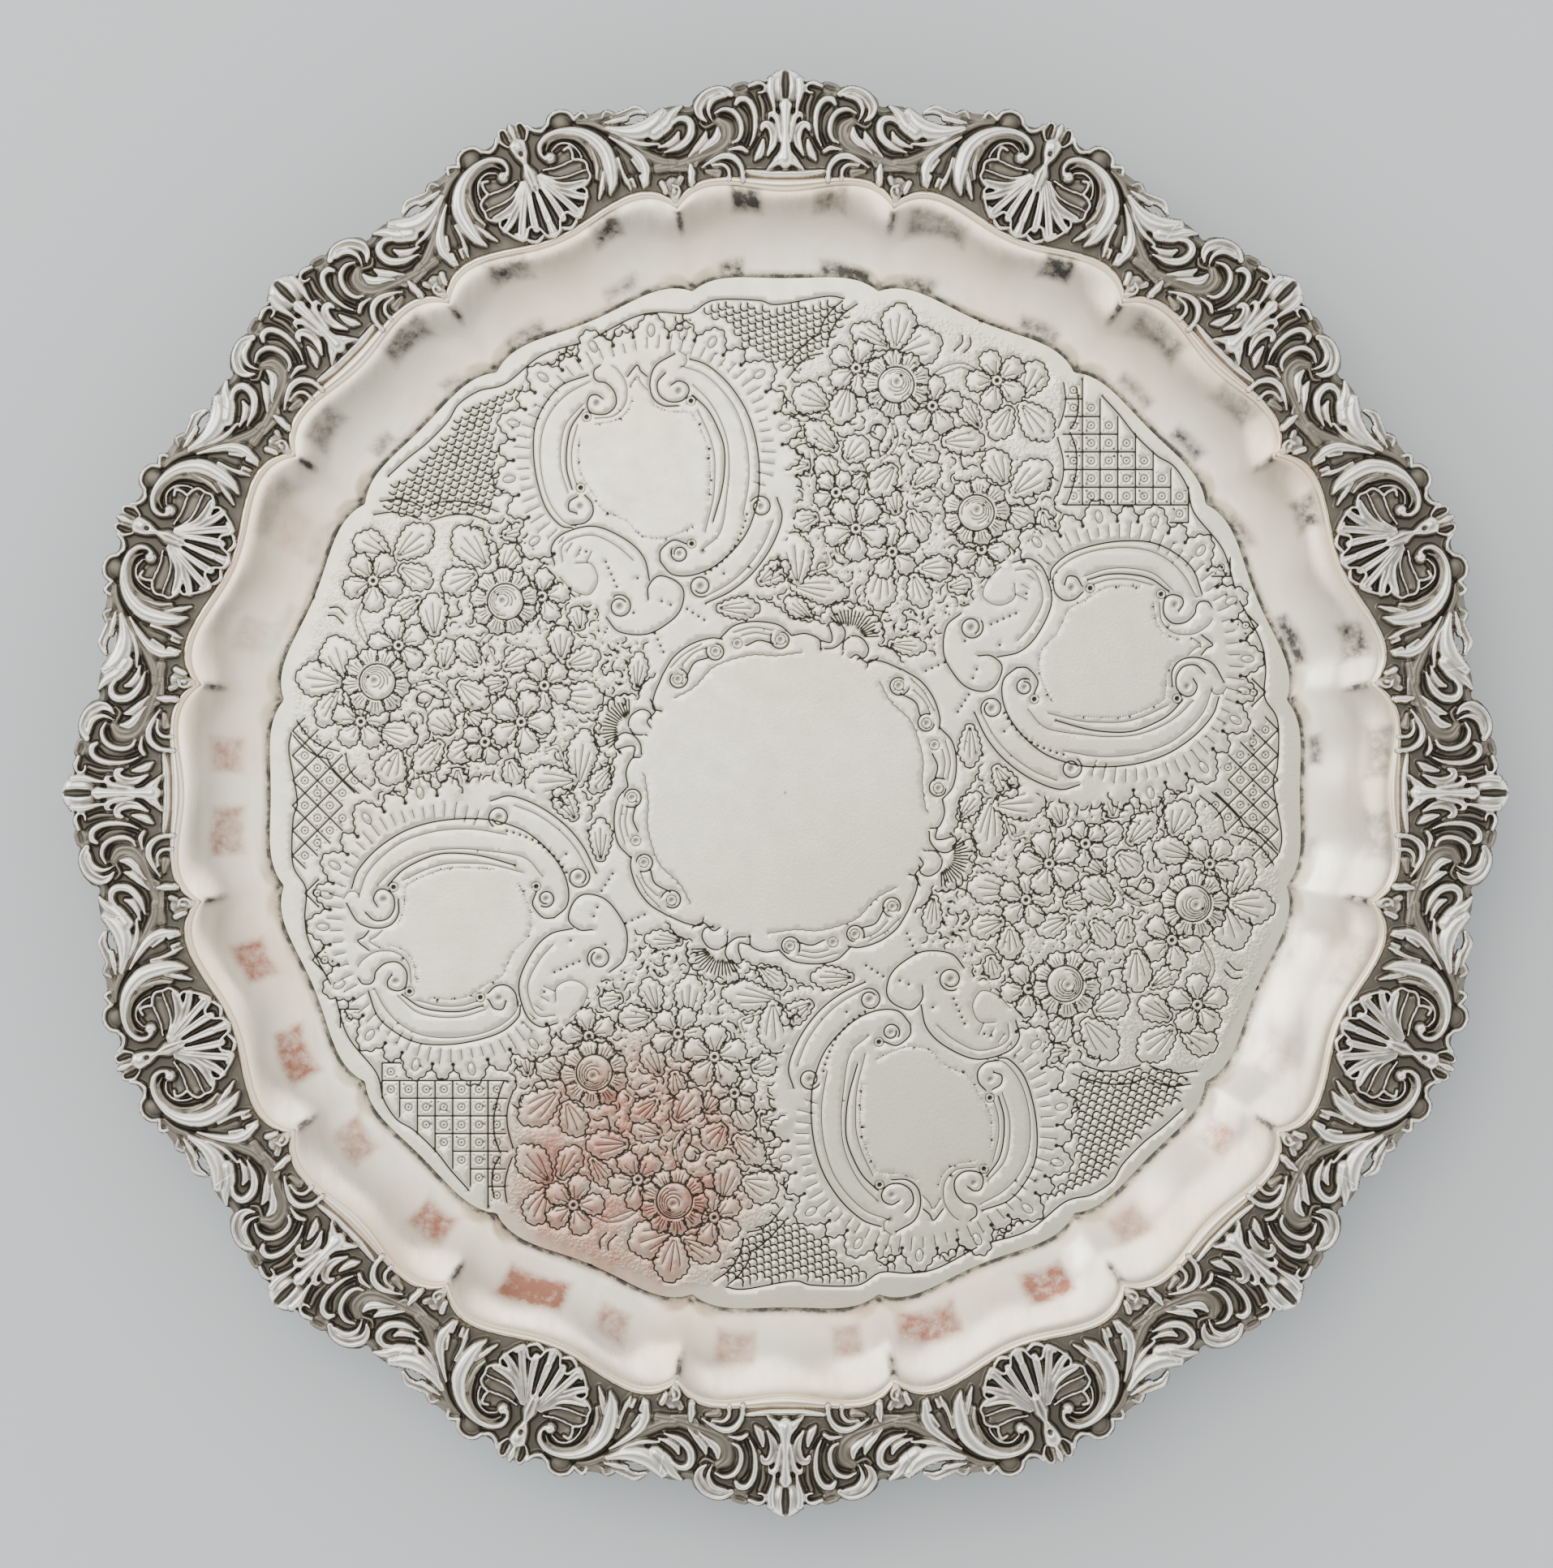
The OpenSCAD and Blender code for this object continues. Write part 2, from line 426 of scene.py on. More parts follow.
# %% The bouge
ROUND = 1152
FLANGE_W = 8.0
BOUGE_SHARE = 0.86
BOUGE_CURVE = 1.8
CORNER_S, CORNER_CURVE = 0.035, 1.4


def smooth_step(value, low, high):
    t = np.clip((value - low) / (high - low), 0, 1)
    return t * t * (3 - 2 * t)


def bouge_surface(u, v):
    deg = u * 360
    s = np.clip(v / BOUGE_SHARE, 0, 1)
    soft = smooth_step(s, 0.0, 0.25) * (1 - smooth_step(s, 0.55, 0.95))
    inner = FIELD_R + wave(deg, FIELD_SWING, soft)
    outer = CUSP_R + wave(deg, RIM_SWING, soft) - WIRE_W / 2
    radius = inner + (outer - inner) * s
    beyond = np.clip((v - BOUGE_SHARE) / (1 - BOUGE_SHARE), 0, 1)
    radius = radius + beyond * (WIRE_W + FLANGE_W)
    corner = 1 - np.exp(-(s / CORNER_S) ** CORNER_CURVE)
    rise = (RIM_Z - FIELD_Z) * (1 - (1 - s) ** BOUGE_CURVE) * corner
    return polar(deg, radius, FIELD_Z + rise)


bouge, U, V = bent_grid("bouge", ROUND, 34, bouge_surface)

# %% [markdown]
# ### Painted shade and reflections on the bouge
# Shade is painted grey into the corner beside the field, into the pinch of each cusp and at the inner
# end of each cusp. Each hump of the wave has a soft-cornered patch of painted reflection, grey on the
# humps of one side of the salver and rosy on those of the other. A seeded draw gives each hump its own
# strength, and the material breaks the edges up.

# %% Painted shade and painted reflections
# The bearing of the side that gets painted rosy reflections, on the bouge and on the field; grey ones are
# painted on the bouge's far side.
REFLECTION_SIDE = 247.5
HUMPS = 4 * PAIRS
LOBE_HALF = math.radians(PITCH / 2) * CUSP_R
SIDE = np.cos(np.radians((np.arange(HUMPS) + 0.5) * 360 / HUMPS - REFLECTION_SIDE))
DRAWN = np.random.default_rng(11).uniform(0, 1, (3, 3, HUMPS))


def hump_patches(deg, s, side, drawn, middle, share, length):
    """One patch to a hump: middle and share are shares of the bouge, and length is in mm."""
    hump = np.floor(deg * HUMPS / 360).astype(int) % HUMPS
    strength, shift, size = drawn[:, hump]
    place, _ = lobe_place(deg)
    along = (np.abs(place) - 0.35 - 0.3 * shift) * LOBE_HALF
    across = (np.abs(s - middle + 0.1 * (shift - 0.5)) - share / 2) * BOUGE_W
    reach = np.maximum(np.abs(along) - length * (0.25 + 0.4 * size), across)
    return side[hump] * (0.55 + 0.45 * strength) * (1 - smooth_step(reach, -1.4, 2.2))


def paint_bouge_shade_and_reflections():
    deg = U * 360
    s = np.clip(V / BOUGE_SHARE, 0, 1)
    place, _ = lobe_place(deg)
    from_cusp = (1 - np.abs(place)) * LOBE_HALF
    near_rim = smooth_step(s, 0.62, 0.8) * (1 - smooth_step(s, 0.95, 1.0))
    # Painted shade: the pinch of each cusp, the corner beside the field and the inner end of each cusp.
    # Painted reflections: grey patches on the humps of one side, rosy ones on the other.
    pinch = np.exp(-(from_cusp / 1.2) ** 2) * near_rim
    corner = np.exp(-((s - 0.02) / 0.04) ** 2)
    nick = np.exp(-(from_cusp / 1.3) ** 2) * np.exp(-((s - 0.06) / 0.06) ** 2)
    grey = np.clip(0.35 - 1.1 * SIDE, 0, 1)
    upper = hump_patches(deg, s, grey, DRAWN[0], 0.82, 0.26, 14)
    lower = hump_patches(deg, s, grey, DRAWN[1], 0.13, 0.11, 13)
    set_attribute(bouge, "tarnish", np.max([pinch, corner, nick, upper, lower], axis=0))
    rosy = np.clip(0.35 + 1.1 * SIDE, 0, 1)
    set_attribute(bouge, "copper", hump_patches(deg, s, rosy, DRAWN[2], 0.42, 0.32, 14))


paint_bouge_shade_and_reflections()
close_up(bouge)
FRONT = len(bouge.data.vertices)
thickness = bouge.modifiers.new("sheet", "SOLIDIFY")
thickness.thickness = SHEET * MM
thickness.offset = -1
bpy.context.view_layer.objects.active = bouge
bpy.ops.object.modifier_apply(modifier="sheet")
clear_back(bouge, slice(FRONT, None), "tarnish", "copper")
finish_piece(bouge, POLISHED, "plated_sheet", "plate")
print("bouge", faces_of(bouge), "faces")

# %% [markdown]
# ## The moulding wire
# A half-round drawn wire, with a fine groove along each edge, hides the seam between plate and castings.
# It is bent to the same wave and mitred at the cusps, so a crest length and a shell length are made once
# and turned round the salver.

# %% The moulding
WIRE_NARROW, SWELL_SPREAD = 0.78, 0.42
GROOVE_DEPTH, GROOVE_AT, GROOVE_SPREAD = 0.22, 0.8, 0.08
WIRE_UNDER = -0.3


def wire_surface(start, stop, swell):
    def place(u, v):
        deg = start + (stop - start) * u
        middle = (start + stop) / 2
        near = (deg - middle) / (stop - middle)
        half = WIRE_W / 2 * (WIRE_NARROW + swell * np.exp(-(near / SWELL_SPREAD) ** 2))
        turn = np.pi * 2 * v
        side = -np.cos(turn)
        over = np.sin(turn)
        groove = GROOVE_DEPTH * np.exp(-((np.abs(side) - GROOVE_AT) / GROOVE_SPREAD) ** 2) * (over > 0)
        height = np.where(over > 0, WIRE_H * over**0.8 - groove, WIRE_UNDER)
        return polar(deg, wire_mid(deg) + side * half, RIM_Z + height)
    return place


def moulding(name, node, start, stop, swell):
    first, _, _ = bent_grid(name + "_1", 72, 28, wire_surface(start, stop, swell))
    close_up(first, fill=True)
    finish_round(first, PAIRS, POLISHED, "plated_wire", node)
    print(name, PAIRS, "lengths of", faces_of(first), "faces")


moulding("crest_wire", "crest_moulding", -CREST_HALF, CREST_HALF, 0.5)
moulding("shell_wire", "shell_moulding", CREST_HALF, 2 * PITCH - CREST_HALF, 0.0)

# %% [markdown]
# ## The cast border
# Eight crests and eight shells were cast in sand from carved patterns, then oxidised and rubbed. They could
# be sculpted by hand, but the same leaf lobe comes back again and again: a tapered ridge along a curved
# spine, sometimes hollow, sometimes veined. So a grid is laid out first, arc length one way and radius the
# other, and each lobe is raised on it where it stands higher than what is there already, as a carver leaves
# the higher form standing. Each lobe also carries its tone, from rubbed bright (0) to dark (1); the dark is
# oxide with painted shade, deepest on the low lobes, in hollows and on the ground between them.

# %% Lobes of a pattern
ARC_R = 192.0
PERIOD = math.radians(PITCH) * ARC_R
GROUND_TONE = 0.85
FAR_OUTSIDE = -9.0
FLANK, VEIN_DEPTH = 0.4, 0.3


def spine(points, step=0.3):
    """A smooth curve through points, and where each of its samples lies, from 0 to 1."""
    knots = np.array(points, float)
    ends = np.vstack([2 * knots[0] - knots[1], knots, 2 * knots[-1] - knots[-2]])
    count = len(knots) - 1
    path, share = [], []
    for i, (a, b, c, d) in enumerate(zip(ends, ends[1:], ends[2:], ends[3:])):
        t = np.linspace(0, 1, max(3, int(np.hypot(*(c - b)) / step)), endpoint=(i == count - 1))
        share.append((i + t) / count)
        t = t[:, None]
        path.append(b + 0.5 * t * (c - a + t * (2 * a - 5 * b + 4 * c - d + t * (3 * (b - c) + d - a))))
    return np.vstack(path), np.concatenate(share)


class Pattern:
    """The carved pattern: height, tone, and how far inside the outline each point of the grid lies."""

    def __init__(self, x, y):
        self.x, self.y = x, y
        self.height = np.zeros_like(x)
        self.tone = np.full_like(x, GROUND_TONE)
        self.inside = np.full_like(x, FAR_OUTSIDE)

    def near(self, x, path, reach):
        low, high = path.min(0) - reach, path.max(0) + reach
        return (x > low[0]) & (x < high[0]) & (self.y > low[1]) & (self.y < high[1])

    def raise_lobe(self, x, points, widths, top, tone, hollow=0, veins=0):
        """Raises a lobe where it stands higher than what is there already."""
        path, share = spine(points)
        widths = np.atleast_1d(np.asarray(widths, float))
        width = np.interp(share, np.linspace(0, 1, len(widths)), widths)
        here = self.near(x, path, width.max() + 0.5)
        dx = x[here][:, None] - path[:, 0]
        dy = self.y[here][:, None] - path[:, 1]
        away = np.hypot(dx, dy) / width
        nearest = away.argmin(1)
        row = np.arange(len(nearest))
        away, dx, dy, width = away[row, nearest], dx[row, nearest], dy[row, nearest], width[nearest]
        heading = np.gradient(path, axis=0)[nearest]
        heading /= np.linalg.norm(heading, axis=1)[:, None]
        across = (heading[:, 0] * dy - heading[:, 1] * dx) / width
        body = np.sqrt(np.clip(1 - away**2, 0, 1))
        flank = np.clip(1 - (away - 1) * width / FLANK, 0, 1)
        vein = 0.5 - 0.5 * np.cos(math.pi * veins * (across + 1))
        height = top * (0.45 + 0.55 * body) * (1 - hollow * np.exp(-(away / 0.55) ** 2)) * flank
        height -= VEIN_DEPTH * vein * body
        # A lobe's hollow and its veins are painted darker: oxide with painted shade.
        dark = tone + 0.5 * hollow * np.exp(-(away / 0.6) ** 2) + 0.25 * vein
        raised = (flank > 0) & (height > self.height[here])
        self.height[here] = np.where(raised, height, self.height[here])
        self.tone[here] = np.where(raised, dark, self.tone[here])
        self.inside[here] = np.maximum(self.inside[here], (1 - away) * width)

    def sink(self, x, points, width, depth):
        """Cuts a groove along a spine and paints it dark: oxide with painted shade."""
        path, _ = spine(points)
        here = self.near(x, path, 3 * width)
        away = np.hypot(x[here][:, None] - path[:, 0], self.y[here][:, None] - path[:, 1]).min(1)
        mark = np.exp(-(away / width) ** 2)
        self.height[here] -= depth * mark
        self.tone[here] = np.maximum(self.tone[here], 0.9 * mark)


# %% [markdown]
# ### The two patterns
# Each row is one lobe: its spine as (millimetres along the arc from the axis, radius), its half widths
# along the spine, its height, its tone, and where it has them, how hollow it is and how many veins it has.
# Both patterns are the same on both sides of their axis, so only the right half is carved.

# %% Lobes of the crest
CREST = [
    # (points, widths, top, tone, hollow, veins)
    # knob at the tip, its two falling lobes, and the small hooks beside it
    ([(0, 205), (0, 206.4)], [5.2, 3.6], 4.6, 0.1),
    ([(3.9, 207), (4.1, 203.5), (3.4, 200), (3.0, 196.5)], [1.2, 1.3, 0.9, 0.4], 4.8, 0.08),
    ([(9.8, 205.4), (7.6, 206.2), (5.9, 205.4), (6.1, 203.8), (7.4, 203.4)],
     [0.8, 0.9, 0.8, 0.7, 0.5], 4.2, 0.1),
    ([(11.3, 205.4), (13.2, 204.8)], [1.7, 1.8], 3.4, 0.45, 0.5),
    ([(14.2, 204), (10.8, 203), (9.2, 199.5), (8.6, 195), (9.4, 190), (11.5, 187)],
     [1, 1.2, 1.3, 1.5, 1.2, 0.6], 2.9, 0.62, 0, 2),
    ([(7.2, 202.6), (6.3, 199.5), (6.5, 195), (7.6, 191)], [0.8, 1.0, 0.9, 0.5], 2.6, 0.6),
    # first and second hooks beside the palmette
    ([(13.8, 200.4), (12.7, 201.7), (10.6, 201.4), (9.1, 199), (8.6, 195.5), (9.2, 191), (10.6, 188)],
     [0.9, 1.3, 1.2, 1.2, 1.1, 0.8, 0.3], 4.6, 0.06),
    ([(13, 199.2), (11.4, 196.6), (11.2, 193), (12.4, 189.5)], [0.9, 1.1, 1.1, 0.7], 2.6, 0.75),
    ([(19.8, 198.2), (17.2, 199.1), (14.6, 198.1), (13.1, 195.6), (12.8, 192.6), (13.7, 190.2),
      (15.6, 189.2)],
     [0.5, 0.9, 1.1, 1.1, 1.1, 0.9, 0.5], 5.2, 0.04),
    ([(19, 196.2), (16.9, 194), (17.2, 190.6), (20, 188.1), (26, 186.4), (33, 185.2), (39, 185.2)],
     [1.6, 2.8, 3.0, 2.4, 2.0, 1.8, 1.7], 3.4, 0.42, 0, 3),
    # the rolled leaf over them
    ([(13.5, 203), (16, 205), (20, 205.4), (24.5, 202.6), (25.6, 199)],
     [0.9, 0.9, 0.9, 1.0, 0.6], 2.8, 0.4),
    ([(15.0, 203.4), (18, 204.8), (21.8, 203.6), (24.2, 200.5), (24, 198), (22.5, 196.2)],
     [1.0, 1.4, 1.7, 1.6, 1.1, 0.4], 4.8, 0.08, 0.25),
    ([(16.6, 203), (19.8, 202.4), (21.4, 200.2), (21.5, 198.2), (20.9, 196.4)],
     [0.8, 1.2, 1.0, 0.7, 0.3], 4.2, 0.12),
    # falling drops and the fork between them
    ([(19.5, 193.8), (19.9, 191.6), (21.8, 189.8), (25.8, 187.3)], [0.8, 1.7, 1.5, 0.3], 4.7, 0.04),
    ([(23, 193), (24, 191), (26.2, 189), (29, 186.8)], [0.7, 1.5, 1.3, 0.3], 4.5, 0.04),
    ([(20.6, 195.4), (23, 194.7), (24.6, 196.2)], [0.7, 0.8, 0.5], 3.2, 0.6),
    # the hook that turns back towards the crest
    ([(31.8, 197), (29.9, 198), (27.7, 197.3), (27, 195), (28.2, 192.1), (31.4, 189.9), (36, 189)],
     [0.6, 1.2, 1.4, 1.5, 1.5, 1.3, 0.4], 4.8, 0.04),
    ([(30.8, 194.2), (31.9, 192.4), (34.4, 191.2), (37.6, 190.8)], [0.6, 1.4, 1.2, 0.3], 4.4, 0.06),
    ([(24.6, 200.5), (27.3, 199.8), (30, 200.6), (32.4, 201.2)], [1.2, 1.5, 1.5, 1], 3.0, 0.65, 0, 2),
    ([(29, 201.4), (31.6, 199.8), (34, 197.2), (37.5, 195.4)], [0.7, 1.6, 2.4, 2.6], 4.4, 0.06),
    # low scroll on the moulding, its bulb and the knot over the cusp
    ([(13.3, 178.2), (13.5, 182), (15.5, 184.9), (18.6, 185.8), (22, 184.8), (25.6, 183.1)],
     [0.9, 1.1, 1.3, 1.3, 1.0, 0.3], 4.4, 0.15),
    ([(17.5, 178.8), (17.5, 181.6), (19.2, 183.3), (22.4, 183.4)], [0.7, 0.9, 0.8, 0.4], 3.8, 0.12),
    ([(20.8, 181.4), (24.3, 182.1)], [1.6, 0.9], 3.2, 0.4),
    ([(11.6, 186.6), (13.5, 187.7), (16.8, 187.4)], [0.9, 1.1, 0.5], 4.2, 0.2),
    ([(28.8, 184.2), (28.9, 182), (29.4, 179.4)], [0.9, 1.6, 1.3], 4.4, 0.15),
    ([(25.8, 186), (27.5, 184), (31, 183.4), (35, 184)], [0.8, 0.9, 1, 0.8], 3.2, 0.35),
    ([(32.4, 181), (33.6, 179.4)], [1.4, 1.2], 3.4, 0.3),
    ([(35.2, 179.6), (35.2, 175.4)], [2.7, 1.2], 3.2, 0.2),
    ([(35.2, 179.3), (33.5, 178.2), (34, 176.3), (35.2, 175.7)], 0.6, 4.4, 0.05),
    ([(35.2, 177.5), (35.2, 177.9)], [0.9, 0.9], 4.4, 0.1),
    ([(38.4, 180.6), (37.6, 178.2)], [1.3, 1.1], 3.8, 0.12),
    # palmette: stem with its bud, fishtail foot and three pairs of leaves
    ([(0, 201), (0, 199.4), (0, 197), (0, 192), (0, 187), (0, 184)],
     [0.9, 2.2, 1.7, 1.2, 1.9, 2.8], 5.4, 0.04),
    ([(0.5, 187), (2.5, 183.6), (5.3, 181.3)], [1.0, 1.6, 0.5], 4.6, 0.06),
    ([(1.4, 189), (1.9, 193.6), (2.7, 196.3), (4.2, 197.1), (4.7, 196)],
     [0.6, 1.1, 1.3, 1.0, 0.5], 4.6, 0.08),
    ([(6.9, 192.7), (6.3, 194), (4.7, 193.9), (3.5, 191.5), (3.7, 188.5), (5.4, 185.2)],
     [0.7, 1.1, 1.4, 1.6, 1.4, 0.5], 4.6, 0.1, 0.2),
    ([(6.6, 189.6), (7.1, 187.6), (7.9, 185.6), (9.2, 184)], [0.7, 1.4, 1.6, 0.6], 4.2, 0.08),
    ([(0, 180), (6, 180.2), (12, 181)], [1.2, 1.2, 0.8], 2.8, 0.15),
]

# %% Lobes of the shell
SHELL = [
    # tip: a drop between two hollow petals, over a shield
    ([(0, 209.4), (0, 207.8), (0, 205.6)], [0.7, 1.2, 0.8], 5.2, 0.08),
    ([(2.5, 208.4), (2.6, 206.4), (2.1, 204.4)], [1.4, 1.9, 1.0], 4.6, 0.1, 0.7),
    ([(0, 203), (0, 200.5), (0, 197.6)], [2.7, 2.2, 1.1], 4.8, 0.15),
    # the scalloped outline
    ([(9.6, 205.8), (7.6, 204.7), (5.6, 205.6), (4.5, 207.6)], [0.6, 0.8, 0.7, 0.5], 4.2, 0.08),
    ([(13.2, 206), (13.4, 204.2)], [3.0, 2.6], 2.6, 0.7),
    ([(9.6, 205.6), (11, 207.7), (13.6, 208.3), (16, 207.1), (16.9, 204.8)], 0.7, 4.4, 0.06),
    ([(17, 204.8), (18.2, 205.6), (19.8, 206), (20.4, 204.4)], 0.7, 3.8, 0.2),
    ([(18.5, 204.2), (22.5, 203.2), (26, 203.2)], [1.4, 1.8, 1.5], 3.0, 0.5, 0, 2),
    ([(24.4, 203), (25.8, 204.5), (27.6, 203.4)], 0.7, 3.6, 0.3),
    ([(27.4, 202.2), (31, 202.7), (34, 203.1), (36.6, 201.6)], [1.0, 1.3, 1.3, 0.6], 4.0, 0.14, 0.3),
    ([(24.8, 201.4), (27.6, 201.2), (31, 201.3)], [0.6, 1.2, 0.8], 4.0, 0.06),
    ([(25, 199.6), (29.5, 197.4), (34, 196.8), (38, 198), (41, 200.6)],
     [1.0, 2.2, 3.0, 2.8, 1.6], 4.6, 0.04),
    ([(26.6, 198), (30, 194.8), (34, 192.7), (38.5, 191.8)], [0.5, 1.0, 1.1, 0.5], 4.2, 0.1),
    # the stem that runs out to the crest
    ([(17.5, 203.6), (21.5, 202), (25.5, 198.6), (29.5, 194.4), (33.5, 190.2), (38, 187), (42, 185.9)],
     [0.6, 1.2, 1.4, 1.5, 1.8, 2.0, 1.7], 3.6, 0.48, 0, 3),
    # split leaf outside the volute
    ([(26, 194), (28, 190.5), (28.8, 186.5)], [0.8, 1.6, 1.7], 2.2, 0.8),
    ([(25, 197), (28.8, 193.2), (31.8, 189.4), (32.9, 185.8), (32.4, 181.6)],
     [0.5, 1.3, 1.8, 2.0, 1.1], 4.6, 0.05),
    ([(26, 190.6), (26, 186.5), (26.6, 183.5), (27.2, 181)], [0.5, 0.9, 1.1, 0.5], 4.2, 0.08),
    ([(29.6, 189), (30.6, 186.8), (31, 185.4)], [0.5, 0.7, 0.5], 4.6, 0.08),
    ([(28.3, 183.6), (28.7, 181.6)], [0.9, 0.7], 4.0, 0.12),
    ([(31, 183.8), (31.4, 181)], [0.8, 0.8], 4.2, 0.08),
    # volute
    ([(5.7, 196.4), (5.1, 198.6), (6, 201), (8.7, 202.5), (12.5, 202.6), (16.8, 201), (20.4, 197.8),
      (22.6, 193.5), (22.9, 188.5), (22.2, 183.8), (20.7, 181)],
     [0.6, 0.9, 1.1, 1.1, 1.3, 1.7, 2.2, 2.6, 2.6, 1.8, 0.6], 5.8, 0.03),
    ([(7.3, 196.3), (7.35, 196.5)], [1.8, 1.8], 6.4, 0.03),
    ([(18.9, 197), (19.4, 193), (19.3, 189.4), (18.2, 186.6)], [0.9, 1.3, 1.5, 0.9], 4.6, 0.22, 0, 2),
    ([(20.8, 187.5), (18.9, 183.6), (17, 180.7)], [1.3, 1.3, 0.5], 4.4, 0.1),
    ([(6.7, 198.8), (8.6, 200.8), (12.2, 201), (16.0, 199), (18, 195.6), (18.4, 192)],
     [0.4, 0.6, 0.7, 0.8, 0.8, 0.4], 4.2, 0.45),
    ([(8.4, 198.5), (11, 199.5), (13.9, 198.4), (15.4, 195.8), (15.9, 193.5)],
     [0.3, 0.45, 0.5, 0.45, 0.3], 3.8, 0.2),
    # ears and frilled edge of the shell
    ([(7.5, 194.4), (11.2, 195.6)], [1.6, 2.3], 3.0, 0.45, 0.3, 2),
    ([(5.5, 192), (13.4, 191.7)], [1.1, 2.3], 3.1, 0.42, 0.3, 2),
    ([(6.5, 189.4), (14, 188.2)], [1.1, 2.0], 3.1, 0.4, 0.3, 2),
    ([(11.6, 197.3), (13.2, 197.5), (13.6, 195.5), (13.3, 193.9), (15, 193.2), (16.5, 191.8),
      (16.4, 189.4), (16.6, 187.7), (15.2, 186.3), (12.6, 185.6)],
     0.65, 4.6, 0.04),
    ([(4, 194), (8, 193.3), (12.8, 193.7)], [0.4, 0.5, 0.5], 4.0, 0.2),
    ([(3.6, 192.6), (8, 190), (15.4, 189.9)], [0.4, 0.5, 0.4], 4.0, 0.2),
    # ribs of the fan
    ([(0, 196.6), (0, 194), (0, 190.5)], [1.3, 2.5, 2.0], 5.0, 0.08, 0, 3),
    ([(3, 193), (6, 188.8), (9.6, 186.8), (14.6, 186.4)], [0.6, 1.3, 1.7, 1.3], 5.0, 0.05, 0.25),
    ([(2.4, 192.8), (6.4, 187.3), (10.2, 184.1), (13.4, 182.4)], [0.5, 1.1, 1.4, 1.2], 5.0, 0.06, 0.25),
    ([(1.8, 192.4), (4.9, 186.8), (7.8, 181.9), (9.4, 179.2)], [0.5, 1.0, 1.4, 1.3], 5.2, 0.05, 0.25),
    ([(1.1, 192), (2.9, 186.5), (4.2, 181.4), (4.5, 178.9)], [0.5, 1.0, 1.4, 1.3], 5.2, 0.05, 0.25),
    ([(0, 192), (0, 186), (0, 180)], [0.5, 1.0, 1.4], 5.2, 0.05, 0.25),
    # frill over the moulding
    ([(0, 179.6), (0, 176.2)], [1.4, 1.9], 4.2, 0.12),
    ([(0, 174.8), (2.2, 175.8), (3.4, 178.4), (4.7, 179.4), (6.4, 180), (8.2, 178), (9.8, 177.6),
      (11.6, 179.3), (13.3, 181.8), (14.2, 184), (13.2, 185.6)],
     0.6, 4.6, 0.06),
    ([(9.2, 178.8), (11.2, 179.6)], [1.5, 1.3], 3.8, 0.12),
    ([(3.6, 176.2), (6, 175.6), (8, 176.8)], 0.7, 3.6, 0.2),
]

# %% [markdown]
# ### From pattern to casting
# Both half patterns are carved on one stretch of border, because the leaves of each reach past the cusp
# into the other. The stretch is then mirrored, and cut at the cusps into one crest and one shell.

# %% Carve the stretch
STEP_DEG = 1 / 12
LOW_R, HIGH_R, STEP_R = 172.6, 211.2, 0.28
WIRE_GAP, GROUND_INSET = 1.1, 3.0
EDGE_H = 1.2
TIP_CURVE = 1.4


def blurred(values, size):
    """Softens a grid of values; what is lower than its surroundings after that is a recess."""
    reach = int(3 * size)
    weight = np.exp(-0.5 * (np.arange(-reach, reach + 1) / size) ** 2)
    weight /= weight.sum()
    for axis in (0, 1):
        margins = [(reach, reach) if i == axis else (0, 0) for i in (0, 1)]
        padded = np.pad(values, margins, mode="reflect")
        count = values.shape[axis]
        values = sum(w * np.take(padded, range(i, i + count), axis) for i, w in enumerate(weight))
    return values


def carved_stretch():
    deg = np.arange(0, PITCH + 1e-6, STEP_DEG)
    radius = np.arange(LOW_R, HIGH_R, STEP_R)
    x, y = np.meshgrid(np.radians(deg) * ARC_R, radius, indexing="ij")
    pattern = Pattern(x, y)
    for row in CREST:
        pattern.raise_lobe(x, *row)
    for row in SHELL:
        pattern.raise_lobe(PERIOD - x, *row)
    pattern.sink(x, [(0, 209), (0.2, 206), (0, 202.4)], 0.8, 2.0)
    pattern.sink(x, [(6.6, 204.6), (6.7, 204.8)], 0.7, 2.0)
    pattern.sink(PERIOD - x, [(0, 200.4), (0, 200.8)], 0.6, 1.4)
    from_wire = y - (wire_mid(deg)[:, None] + WIRE_GAP)
    outline = RADIUS - TIP_DROP * (1 - np.abs(np.cos(np.radians(PAIRS * deg))) ** TIP_CURVE)
    ground = np.minimum(from_wire, outline[:, None] - GROUND_INSET - y)
    pattern.inside = np.maximum(pattern.inside, ground)
    pattern.height = np.maximum(pattern.height, EDGE_H)
    return deg, radius, pattern


DEG, ACROSS, CARVED = carved_stretch()
print(f"carved a stretch of {CARVED.height.shape[0]} by {CARVED.height.shape[1]} points, "
      f"up to {CARVED.height.max():.1f} mm high")


# %% Cast a section
SOLID = 0.05
FLATTEST, EDGE_SHIFT = 0.02, 1.5


def fill_gaps(inside):
    """Marks enclosed gaps as solid: only what the outer edge can reach is outside."""
    outside = np.zeros(inside.shape, bool)
    outside[:, 0] = outside[:, -1] = True
    outside &= inside < 0
    while True:
        grown = outside.copy()
        grown[1:] |= outside[:-1]
        grown[:-1] |= outside[1:]
        grown[:, 1:] |= outside[:, :-1]
        grown[:, :-1] |= outside[:, 1:]
        grown &= inside < 0
        if (grown == outside).all():
            return np.where(outside, inside, np.maximum(inside, SOLID))
        outside = grown


def spread(values):
    """The highest of each point's three by three neighbours."""
    padded = np.pad(values, 1, mode="edge")
    rows, cols = values.shape
    return np.max([padded[i:i + rows, j:j + cols] for i in range(3) for j in range(3)], axis=0)


def whole_section(values, columns, crest):
    """The carved half of a section and its mirror image."""
    half = values[columns]
    return np.concatenate([half[::-1], half[1:]] if crest else [half, half[::-1][1:]])


